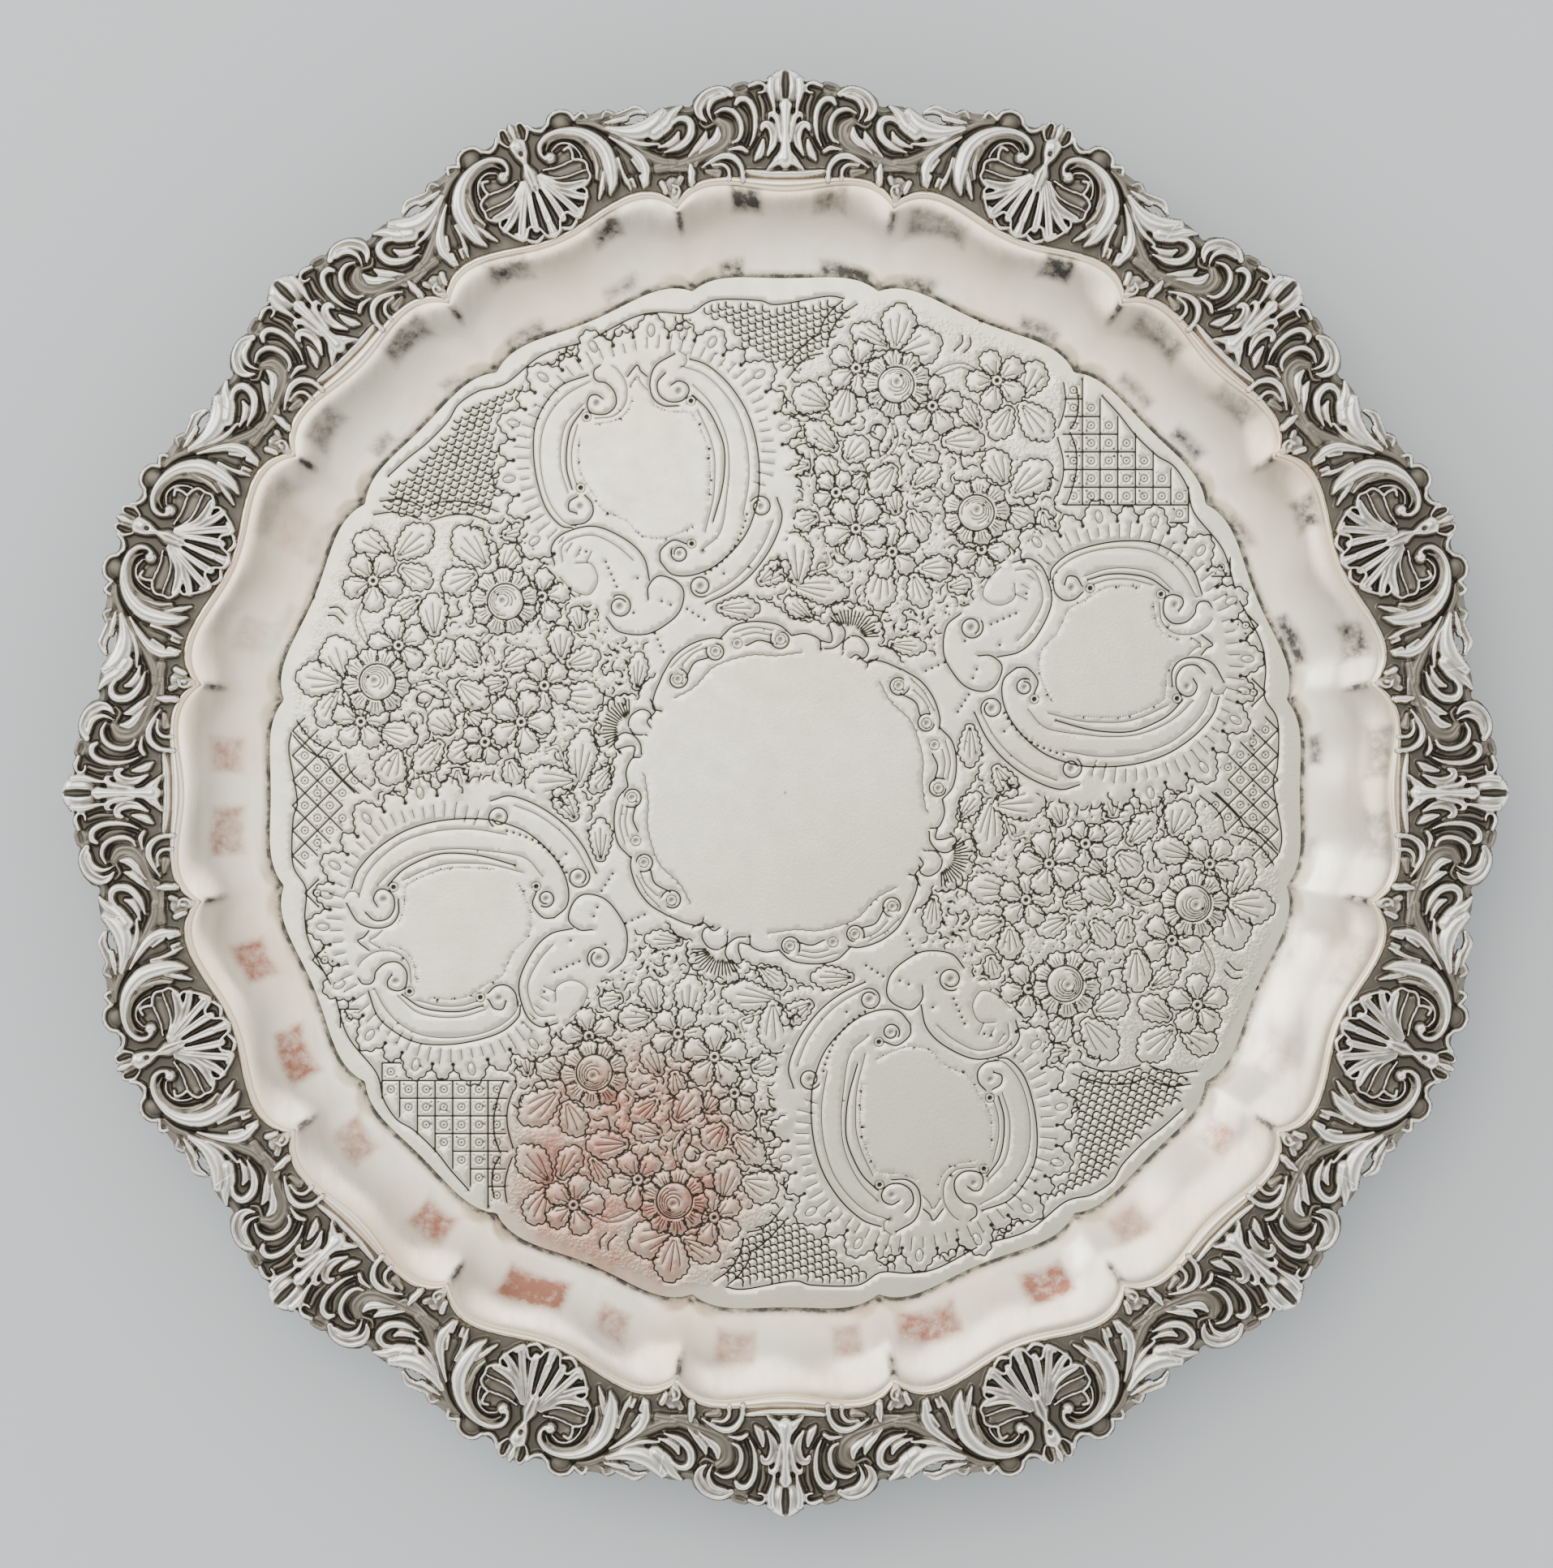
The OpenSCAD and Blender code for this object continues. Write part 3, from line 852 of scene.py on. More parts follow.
def cast_section(name, crest):
    """One casting, trimmed to its outline, with its edges carried down to a flat back."""
    columns = (DEG <= CREST_HALF + 1e-6) if crest else (DEG >= CREST_HALF - 1e-6)
    deg = DEG[columns]
    deg = np.concatenate([-deg[::-1], deg[1:]] if crest else [deg, 2 * PITCH - deg[::-1][1:]])
    inside = fill_gaps(whole_section(CARVED.inside, columns, crest))
    height = whole_section(HEIGHT, columns, crest)
    patina = whole_section(PATINA_AND_SHADE, columns, crest)
    kept = spread(inside) > 0
    height = np.where(inside < 0, spread(np.where(inside < 0, 0, height)), height)
    slope = np.gradient(inside)
    steep = np.clip(slope[0] ** 2 + slope[1] ** 2, FLATTEST, None)
    shift = [np.clip(-inside * s / steep, -EDGE_SHIFT, EDGE_SHIFT) * (inside < 0) for s in slope]
    shift[0][[0, -1]] = 0

    piece, u, v = bent_grid(name, len(deg) - 1, len(ACROSS) - 1)
    i = np.rint(u * (len(deg) - 1)).astype(int)
    j = np.rint(v * (len(ACROSS) - 1)).astype(int)
    angle = deg[i] + shift[0][i, j] * STEP_DEG
    radius = ACROSS[j] + shift[1][i, j] * STEP_R
    write_points(piece.data, polar(angle, radius, RIM_Z + height[i, j]) * MM)
    set_attribute(piece, "patina", patina[i, j])
    trim(piece, ~kept[i, j])
    flat_back(piece, RIM_Z * MM)
    return piece


def trim(piece, waste):
    """Deletes the vertices marked as waste."""
    deselect_all()
    piece.data.vertices.foreach_set("select", waste)
    piece.data.edges.foreach_set("select", np.zeros(len(piece.data.edges), bool))
    piece.data.polygons.foreach_set("select", np.zeros(len(piece.data.polygons), bool))
    bpy.context.view_layer.objects.active = piece
    bpy.ops.object.mode_set(mode="EDIT")
    bpy.ops.mesh.select_mode(type="VERT")
    bpy.ops.mesh.delete(type="VERT")
    bpy.ops.mesh.select_all(action="SELECT")
    bpy.ops.mesh.delete_loose()
    bpy.ops.object.mode_set(mode="OBJECT")


def flat_back(piece, level, crisp=False):
    """Extrudes the open edge down to a level and fills it; crisp keeps the upper edge sharp too."""
    bpy.context.view_layer.objects.active = piece
    bpy.ops.object.mode_set(mode="EDIT")
    bpy.ops.mesh.select_all(action="DESELECT")
    bpy.ops.mesh.select_non_manifold(extend=False, use_wire=False, use_boundary=True,
                                     use_multi_face=False, use_non_contiguous=False, use_verts=False)
    if crisp:
        bpy.ops.mesh.mark_sharp()
    bpy.ops.mesh.extrude_region_move()
    bpy.ops.object.mode_set(mode="OBJECT")
    foot = np.zeros(len(piece.data.vertices), bool)
    piece.data.vertices.foreach_get("select", foot)
    points = read_points(piece.data)
    points[foot, 2] = level
    write_points(piece.data, points)
    bpy.ops.object.mode_set(mode="EDIT")
    bpy.ops.mesh.fill(use_beauty=True)
    bpy.ops.mesh.mark_sharp()
    bpy.ops.object.mode_set(mode="OBJECT")
    close_up(piece)


HEIGHT = blurred(CARVED.height, 0.6)
# What lies lower than its surroundings is painted darker: oxide with painted shade.
RECESS = np.clip((blurred(CARVED.height, 3.2) - CARVED.height) / 1.7, -0.3, 1)
PATINA_AND_SHADE = np.clip(blurred(CARVED.tone, 0.7) + 0.65 * RECESS, 0, 1)
for node, crest in (("crest_mount", True), ("shell_mount", False)):
    first = cast_section(f"cast_{node}_1", crest)
    finish_round(first, PAIRS, OXIDISED, "plated_casting", node)
    print(node, PAIRS, "castings of", faces_of(first), "faces")

# %% [markdown]
# ## The chased field
# The field is chased: the plate lies face up in pitch, and a blunt tracer is tapped along each line, so
# the metal is pushed down and nothing is cut away. Punches add dots and beads, and the leaves and petals
# swell between their outlines. Lines could be painted on with a texture, but light has to catch their
# edges, so they are real grooves. The pattern is drawn as strokes, in millimetres, with the salver's centre
# at the origin and the motif's own axis along +Y.

# %% Strokes
FIRM, LIGHT = 0, 1
HALF_WIDTH = (0.38, 0.3)
DEPTH = (0.26, 0.14)
TONE = (1.0, 0.7)


def rotated(points, degrees):
    turn = math.radians(degrees)
    points = np.asarray(points, float)
    x = points[..., 0] * math.cos(turn) - points[..., 1] * math.sin(turn)
    y = points[..., 0] * math.sin(turn) + points[..., 1] * math.cos(turn)
    return np.stack([x, y], axis=-1)


def within(x, y, outline):
    """Whether points lie in a closed outline."""
    inside = np.zeros(np.shape(x), bool)
    for (x0, y0), (x1, y1) in zip(outline, np.roll(outline, -1, axis=0)):
        if y0 != y1:
            inside ^= ((y0 > y) != (y1 > y)) & (x < (x1 - x0) * (y - y0) / (y1 - y0) + x0)
    return inside


def off(x, y, reach, degrees):
    """The point that lies at a distance and bearing from another."""
    turn = math.radians(degrees)
    return x + reach * math.cos(turn), y + reach * math.sin(turn)


def round_path(x, y, radius, turn):
    """Points round x, y at the angles of turn, in radians."""
    return np.stack([x + radius * np.cos(turn), y + radius * np.sin(turn)], 1)


def measured(points):
    """A fine curve through points, and how far along it each of its samples lies."""
    path = spine(points, 0.1)[0]
    return path, np.concatenate([[0], np.cumsum(np.hypot(*np.diff(path, axis=0).T))])


def blob(x, y, across, along=None, degrees=0):
    """An oval outline."""
    turn = np.linspace(0, 2 * np.pi, 24, endpoint=False)
    oval = np.stack([across / 2 * np.cos(turn), (along or across) / 2 * np.sin(turn)], 1)
    return rotated(oval, degrees) + (x, y)


class Drawing:
    """Lines of the tracer, punched dots, and swellings. What is drawn first stands in front."""

    def __init__(self, covers=()):
        self.lines = []
        self.dots = []
        self.swells = []
        self.covers = list(covers)

    def hidden(self, x, y):
        covered = np.zeros(np.shape(x), bool)
        for outline in self.covers:
            covered |= within(x, y, outline)
        return covered

    def lay(self, path, kind=FIRM):
        """Keeps the parts of a line that nothing covers."""
        path = np.asarray(path, float)
        hidden = self.hidden(path[:, 0], path[:, 1])
        for part in np.split(np.arange(len(path)), np.flatnonzero(np.diff(hidden)) + 1):
            if len(part) > 2 and not hidden[part[0]]:
                self.lines.append((path[part], kind))

    def trace(self, *points, kind=FIRM):
        self.lay(spine(points, 0.25)[0], kind)

    def light(self, *points):
        self.trace(*points, kind=LIGHT)

    def ring(self, x, y, radius, kind=FIRM, start=0, stop=360):
        count = max(8, int(radius * abs(stop - start) / 16))
        turn = np.radians(np.linspace(start, stop, count))
        self.lay(round_path(x, y, radius, turn), kind)

    def curl(self, x, y, inner, outer, start, turns):
        """A spiral that opens from inner to outer radius."""
        share = np.linspace(0, 1, int(abs(turns) * (inner + outer) * 14) + 8)
        turn = np.radians(start) + share * turns * 2 * np.pi
        radius = inner + (outer - inner) * share
        self.lay(round_path(x, y, radius, turn))

    def dot(self, x, y, radius):
        if not self.hidden(x, y):
            self.dots.append((x, y, radius))

    def beads(self, *points, pitch=2.0, radius=0.6):
        path, along = measured(points)
        for mark in np.arange(0, along[-1], pitch):
            self.dot(np.interp(mark, along, path[:, 0]), np.interp(mark, along, path[:, 1]), radius)

    def scallops(self, *points, size=2.2, bulge=0.34, kind=FIRM, gap=0.06):
        """Short arcs end to end along a curve, each bulging to the left of the way it runs."""
        path, along = measured(points)
        count = max(1, round(along[-1] / size))
        share = np.linspace(gap, 1 - gap, 9)
        for i in range(count):
            mark = (i + share) * along[-1] / count
            arc = np.stack([np.interp(mark, along, path[:, k]) for k in (0, 1)], 1)
            chord = arc[-1] - arc[0]
            side = np.array([-chord[1], chord[0]]) * bulge
            self.lay(arc + np.sin(np.pi * share)[:, None] * side, kind)

    def swell(self, x, y, length, width, degrees, height=0.24):
        self.swells.append((x, y, length / 2, width / 2, degrees, height))

    def boss(self, x, y, radius):
        self.dot(x, y, radius * 0.8)
        self.ring(x, y, radius * 1.25, LIGHT)

    def volute(self, x, y, outer, start, turns):
        """A pellet with a line that winds out from it."""
        self.dot(x, y, outer * 0.36)
        self.curl(x, y, outer * 0.6, outer, start, turns)

    def leaf(self, base, tip, width):
        """A leaf with a scalloped edge, drawn up one side and down the other, and three veins."""
        base, tip = np.array(base, float), np.array(tip, float)
        axis = tip - base
        side = np.array([-axis[1], axis[0]]) / np.hypot(*axis) * width / 2
        left = [base + side * 0.12, base + axis * 0.3 + side * 0.75,
                base + axis * 0.68 + side, tip + side * 0.1]
        right = [tip - side * 0.1, base + axis * 0.68 - side,
                 base + axis * 0.3 - side * 0.75, base - side * 0.12]
        self.scallops(*left, size=2.1)
        self.scallops(*right, size=2.1)
        for vein in (-1, 0, 1):
            lean = side * vein * 0.55
            reach = 0.74 - 0.12 * abs(vein)
            self.light(base + axis * 0.1 + lean * 0.2, base + axis * 0.4 + lean * 0.75,
                       base + axis * reach + lean)
        middle = base + axis * 0.55
        self.swell(*middle, np.hypot(*axis), width, math.degrees(math.atan2(axis[1], axis[0])))
        self.covers.append(np.array(left + right))

    def flower(self, x, y, size, turn):
        """Five scalloped petals round a dark eye."""
        self.dot(x, y, 0.85)
        self.ring(x, y, 1.6, LIGHT)
        self.covers.append(blob(x, y, 3.6))
        half = [(1.9, 15.0), (size * 0.62, 30.0), (size * 0.95, 30.0 * 0.55)]
        shape = [(r, -a) for r, a in half] + [(size, 0)] + half[::-1]
        for i in range(5):
            heading = turn + 72.0 * i
            edge = [off(x, y, r, heading + a) for r, a in shape]
            self.scallops(*edge[::-1], size=2.0)
            for lean in (-10, 8):
                self.light(off(x, y, 2.4, heading + lean), off(x, y, size * 0.62, heading + lean * 1.8))
            self.swell(*off(x, y, size * 0.6, heading), size * 0.8, size * 0.72, heading)
            self.covers.append(np.array(edge))

    def rose(self, x, y, turn=0):
        """A full rose: a dark eye in turned petals, a round cup, and a frill of small petals."""
        self.dot(x, y, 1.05)
        for i, radius in enumerate((1.9, 2.7, 3.5, 4.3)):
            self.ring(x, y - 0.25 * i, radius, LIGHT, turn + 200 + 40 * i, turn + 450 + 30 * i)
        self.ring(x, y - 1.0, 5.3)
        self.covers.append(blob(x, y - 1.0, 11))
        shape = [(5.9, -15), (8.2, -19), (9.6, -8), (9.6, 8), (8.2, 19), (5.9, 15)]
        low = y - 0.6
        for i in range(9):
            heading = turn + 40 * i
            edge = [off(x, low, r, heading + a) for r, a in shape]
            self.scallops(*edge[::-1], size=1.9)
            for lean in (-7, 0, 7):
                self.light(off(x, low, 6.2, heading + lean), off(x, low, 8.0, heading + lean))
            self.covers.append(np.array(edge))
        self.swell(x, low, 19, 19, 0, 0.4)

    def add(self, other, degrees):
        """Takes in another drawing, turned about the salver's centre."""
        self.lines += [(rotated(path, degrees), kind) for path, kind in other.lines]
        for x, y, radius in other.dots:
            self.dots.append((*rotated((x, y), degrees), radius))
        for x, y, length, width, heading, height in other.swells:
            self.swells.append((*rotated((x, y), degrees), length, width, heading + degrees, height))
        self.covers += [rotated(outline, degrees) for outline in other.covers]


# %% [markdown]
# ### The cartouche
# Four cartouches stand round the field. Each is a plain reserve between two C-scrolls, with a dotted line
# inside, volutes at the ends, and a rim of rays and small lobes outside.

# %% Draw the cartouche
WIDE_LOBE = 7.5
RAYS_ABOVE = 86


def ray_at(degrees):
    return np.array(off(0, 0, 1, degrees))


def cartouche():
    draw = Drawing()
    draw.trace((-7, 135.8), (-15, 136), (-22, 132.5), (-27, 127.5), (-30.5, 120), (-32.5, 112), (-33, 104),
               (-31, 98), (-28, 96))
    draw.light((-7, 133.8), (-14, 133), (-20, 130.5), (-25, 126), (-28.8, 119), (-31, 111), (-31.2, 104),
               (-29.5, 98.5), (-27, 96.2))
    draw.light((-11.5, 128.3), (-18, 125), (-22, 119.5), (-24.5, 113), (-25.2, 106))
    draw.trace((-12, 126.8), (-17, 123.5), (-20.5, 118.5), (-23, 112.5), (-23.8, 106.5))
    draw.light((-15, 123.5), (-19, 118), (-21.3, 112.5), (-22, 107.5))
    draw.dot(-7.3, 127.2, 1.1)
    draw.trace((-5.3, 127.8), (-6.5, 129.5), (-8.5, 129.8), (-10.3, 127.5), (-9.8, 125), (-6, 123.2),
               (-2.5, 124.5), (-1.3, 128), (-2.5, 131.5), (-4.5, 132.9), (-5.2, 134.5), (-4.3, 136.5),
               (-2.5, 137))
    draw.light((-9.5, 123.2), (-4, 121.8), (0.5, 124), (2.8, 129), (2.2, 133.5), (1, 135.7))
    draw.boss(-11.7, 124.6, 1.1)
    draw.boss(-21.3, 106, 1.1)
    draw.dot(-23.5, 101, 1.1)
    draw.trace((-23, 104), (-25.8, 103.5), (-27, 101.3), (-25.5, 99.7))
    draw.trace((-21, 103.5), (-20, 100.5), (-21, 97.5), (-24, 96), (-28, 96.8))
    draw.dot(16.3, 121.3, 1.1)
    draw.trace((15, 123.8), (17.5, 124), (19.3, 122), (18.8, 119.7), (16, 118.3), (12.5, 119.5),
               (10.6, 122.5), (11.5, 126), (14.7, 127.7))
    draw.trace((19, 131.8), (13, 130.8), (9.5, 127), (8.5, 122.5), (10.5, 119), (14.5, 117.3))
    draw.light((21, 132), (22.2, 130), (21.5, 128), (20, 127.5))
    draw.boss(18.5, 117.2, 1.1)
    draw.trace((22.8, 128.8), (27, 125), (30.5, 118), (32.3, 110), (32.3, 103), (31, 96), (28.6, 89),
               (25, 82), (18, 74.5), (8, 70), (0, 69.5), (-6, 72), (-8, 77))
    draw.light((20.5, 127.2), (25, 123), (28, 117), (29.7, 110), (29.5, 103), (28, 96), (25, 88.5),
               (20, 80.5))
    draw.light((21, 121), (23.3, 115.5), (24.3, 109), (23.8, 102), (21.5, 95), (18.5, 89), (12, 78.5),
               (5, 75.5))
    draw.trace((19.6, 118.5), (22, 113), (22.7, 107), (22.3, 101), (20, 95), (16.5, 89), (11, 82))
    draw.light((19.3, 114), (19.6, 106), (18.8, 100), (16.5, 94), (13.5, 88), (8, 80.5))
    draw.trace((4, 131), (7.8, 133), (8.2, 131), (9.2, 129))
    draw.light((3.7, 128), (6.5, 129.8), (7, 127.5), (8, 125))
    for edge in (((-10, 121.5), (-4, 120.3), (0, 121.5), (3, 124.5)),
                 ((-16, 119.5), (-19, 113), (-19.5, 108), (-18.5, 103), (-18, 98), (-15, 94.5), (-12, 91)),
                 ((8, 120), (11, 117), (15, 115), (17.5, 113), (18, 106), (17.3, 100), (15, 94), (12, 88)),
                 ((-12, 90.5), (-10, 86), (-5, 83), (1, 82.5), (6, 83))):
        draw.beads(*edge, pitch=0.85, radius=0.22)
    draw.volute(-1.8, 77, 2.6, 160, -1.1)
    draw.trace((-8, 77), (-6.5, 80), (-2, 81.3), (1, 79))
    draw.boss(2.6, 78.3, 1.1)
    draw.volute(0.3, 65.7, 3.3, 200, 1.2)
    draw.volute(25.6, 80.6, 3.2, 90, 1.1)
    draw.beads((3, 68.5), (8, 69.7), (14, 72.7), (19, 77.5), (22, 81.5))
    draw.trace((0, 60.5), (8, 61), (16, 63.5), (24, 68.5), (30, 75), (31, 81))
    draw.light((1, 62.4), (8, 63.2), (15, 65.6), (22, 70), (27, 75))
    draw.volute(-24, 69.3, 3.5, 20, 1.2)
    draw.trace((-37, 88), (-36, 93), (-31, 95.5), (-22, 94), (-15, 87), (-12, 80), (-13, 73))
    draw.light((-34.5, 88), (-33, 92), (-29, 93), (-23, 91.5), (-18, 86), (-15, 80))
    draw.trace((-29, 68), (-27, 62.5), (-20, 58.8), (-13, 59.3), (-8, 61.5), (-5, 66), (-6, 70), (-10, 73.2),
               (-14, 71.5), (-15.5, 68))
    draw.light((-31, 86), (-27, 84), (-27, 79), (-31, 76), (-35, 79), (-37, 84))
    draw.beads((-22.8, 83), (-22.6, 74))
    draw.beads((-35, 54.5), (-28, 60))
    draw.beads((-17.5, 58), (-17.3, 52))
    draw.beads((-6, 61), (-2.5, 56))
    for x, y in ((-21, 66), (-12, 66), (-10, 64), (-16, 75), (-27, 88), (8, 66.5), (12, 58), (24, 62)):
        draw.dot(x, y, 0.6)
    draw.leaf((2, 58), (14, 53), 6)
    draw.leaf((16, 60), (27, 62), 6)

    marks = [(-36, 91), (-38.8, 103.8), (-39, 111), (-36.5, 121), (-34, 126.5), (-27.5, 133.5), (-23, 137),
             (-13, 140), (-7.3, 140.7), (3.6, 141), (10, 141), (19.5, 137), (26.3, 133.2), (32.5, 126),
             (36.2, 121.3), (40, 111.2), (40, 104.5), (38.5, 95), (36, 88)]
    centre = np.array((0, 108.0))
    for start, stop in zip(marks, marks[1:]):
        start, stop = np.array(start), np.array(stop)
        out = (start + stop) / 2 - centre
        out /= np.hypot(*out)
        reach = 0.5 * np.hypot(*(stop - start)) + 0.7
        draw.scallops(start + out * 0.4, (start * 2 + stop) / 3 + out * reach,
                      (start + 2 * stop) / 3 + out * reach, stop + out * 0.4, size=2.6, bulge=0.3)
        draw.dot(*start, 0.75)
        if np.hypot(*(stop - start)) > WIDE_LOBE:
            heart = (start + stop) / 2 + out * reach * 0.35
            along = math.degrees(math.atan2(out[1], out[0]))
            oval = blob(*heart, 3.8, 2.2, along)
            draw.lay(np.vstack([oval, oval[:1]]), LIGHT)
            draw.swell(*heart, 3.4, 2.0, along, 0.3)
    for degrees in np.arange(-52, 236, 5.5):
        ray = ray_at(degrees)
        start = centre + ray * np.array((35.2, 30.5))
        if start[1] > RAYS_ABOVE:
            draw.light(start, start + ray * (3.2 + 0.9 * math.sin(degrees)))
    rim = centre + (np.array(marks) - centre) * 1.09
    foot = [(37, 80), (32, 72), (25, 65), (15, 60.5), (0, 59.5), (-10, 60), (-20, 57.5), (-29, 62),
            (-30.5, 72), (-38, 84)]
    draw.covers.append(np.vstack([rim, foot]))
    return draw


# %% [markdown]
# ### Diapers
# A diaper is a small repeat that fills the ground between cartouche and edge. Two quarters have fish
# scales, struck with a U-shaped punch, and two have a lattice with a ringed dot in each diamond.

# %% Draw the diapers
PANELS = [
    [(-77.5, 123.6), (-72, 128.6), (-60, 132), (-50, 137), (-43, 141.3), (-30, 141), (-25, 141.8),
     (-24, 140), (-30, 138.5), (-38, 135.5), (-38.5, 132), (-39, 128), (-42, 121), (-44, 114.5),
     (-49.5, 110), (-54, 112.6), (-60, 114.6), (-70, 117)],
    [(22, 142), (30, 140), (38, 140.5), (45, 137.5), (52, 132.5), (60, 131), (70.5, 127.3), (73, 125),
     (66, 120), (60.5, 116.5), (51, 114), (46, 119), (42, 124), (38.5, 127), (38.5, 133), (37.5, 136),
     (30, 139), (24, 138)],
    [(-16.5, 142), (-8, 142.5), (-7, 146), (-17, 145.5)],
    [(2, 142.5), (10.5, 142.5), (11, 145.5), (2, 146)]]
SCALE_TURN = [0, -58, 0, 0]
LATTICE_TURN = [-22.5, 22.5, -22.5, 22.5]


def diaper(lattice, front):
    draw = Drawing()
    for outline, turn in zip(PANELS, LATTICE_TURN if lattice else SCALE_TURN):
        middle = np.mean(outline, axis=0)
        pitch = np.array((5.2, 5.2) if lattice else (2.7, 1.75))
        for row in range(-34, 35):
            for column in range(-20, 21):
                shift = 0 if lattice else row % 2 / 2
                x, y = rotated(((column + shift) * pitch[0], row * pitch[1]), turn) + middle
                if not within(x, y, outline) or front.hidden(x, y):
                    continue
                if lattice:
                    draw.ring(x, y, 1.05, LIGHT)
                    draw.dot(x, y, 0.4)
                    for corner in range(4):
                        draw.dot(*(rotated((1.55, 1.55), turn + 90 * corner) + (x, y)), 0.22)
                    draw.trace(*(rotated([(-2.6, 2.6), (0, 2.6), (2.6, 2.6)], turn) + (x, y)))
                    draw.trace(*(rotated([(2.6, -2.6), (2.6, 0), (2.6, 2.6)], turn) + (x, y)))
                else:
                    bow = np.radians(np.linspace(192, 348, 9))
                    bow = np.stack([1.25 * np.cos(bow), 1.35 * np.sin(bow)], 1)
                    draw.lay(rotated(bow, turn) + (x, y))
    draw.trace((-72, 131), (-65, 133.5), (-58, 135.5), (-50, 139), (-45, 142.5), (-38, 143.8), (-30, 142.8),
               (-17, 146.4), (-5, 145.4))
    draw.trace((-1, 145.2), (12, 146.4), (20, 144.8), (28, 141.2), (36, 142), (48, 137), (53, 133.6),
               (67, 130.4), (72, 127.6))
    return draw


# %% [markdown]
# ### The flower panels
# Between the cartouches the ground is matted with a fine punch, and roses, small flowers and leaves stand
# out of it. A leaf is laid by its base, tip and width, and a flower by its eye and size.

# %% Draw a flower panel
LEAVES = [
    ((-20, 133), (-23.5, 146.3), 9.5), ((-19.5, 131.5), (-8.5, 141), 10.5), ((-21.5, 133), (-34.5, 134), 7),
    ((20, 134.5), (20.8, 146), 8.5), ((20, 132.5), (32.5, 126), 9), ((18, 130.5), (16.5, 119.5), 7),
    ((3, 113), (14.5, 118.5), 8), ((25, 108.5), (17, 116.5), 8), ((28, 106.5), (35, 119.5), 9.5),
    ((-32, 110), (-43, 110), 9), ((-28.5, 118), (-27, 106), 7.5), ((-24.5, 99), (-36, 103), 7),
    ((-21, 97), (-18, 105.5), 8), ((28.5, 102), (37.5, 101), 6.5), ((-7, 101.5), (-10, 90.5), 8),
    ((-21, 90.5), (-29, 95), 6.5), ((-30, 92), (-38.5, 88.5), 6.5), ((-29, 89), (-35, 96.5), 6),
    ((-20, 58), (-27, 71.8), 9.5), ((-22, 57), (-5, 61.5), 8), ((1, 73), (5, 60), 8.5),
    ((2, 91), (9.5, 84), 6.5), ((11, 76), (20, 80), 7), ((0, 97.5), (5, 106.5), 6),
    ((-5, 107), (4, 108.5), 6), ((10, 74), (17, 66), 6.5),
    ((-22, 79), (-28, 74), 6), ((30, 84), (34, 92), 6), ((12, 121), (3, 127), 5), ((-33, 104), (-41, 99), 6),
    ((-1, 88), (-6, 95), 5), ((-14, 96), (-16, 88.5), 5), ((21, 74), (27, 78), 5), ((38, 106), (42, 100), 5)]
FLOWERS = [(-28.5, 123.5, 8.3, 20), (11.2, 136, 8.8, 60), (-3.5, 121.8, 8.6, 35), (26, 88.3, 8, 15),
           (-10.5, 79.8, 9.3, 75), (2, 77.6, 8, 50), (-20, 87.4, 6.6, 10)]
GROUND = np.array([
    (-46, 112), (-43, 122), (-39, 125), (-39, 135), (-35, 142), (-25, 146.2), (0, 147.6), (20, 147.2),
    (29, 144), (33, 134), (34, 128), (40, 115), (44, 108), (46, 95), (38, 86), (34, 70), (26, 55), (10, 51),
    (0, 60), (-10, 51), (-28, 51), (-32, 70), (-36, 84), (-44, 92), (-48, 104)])


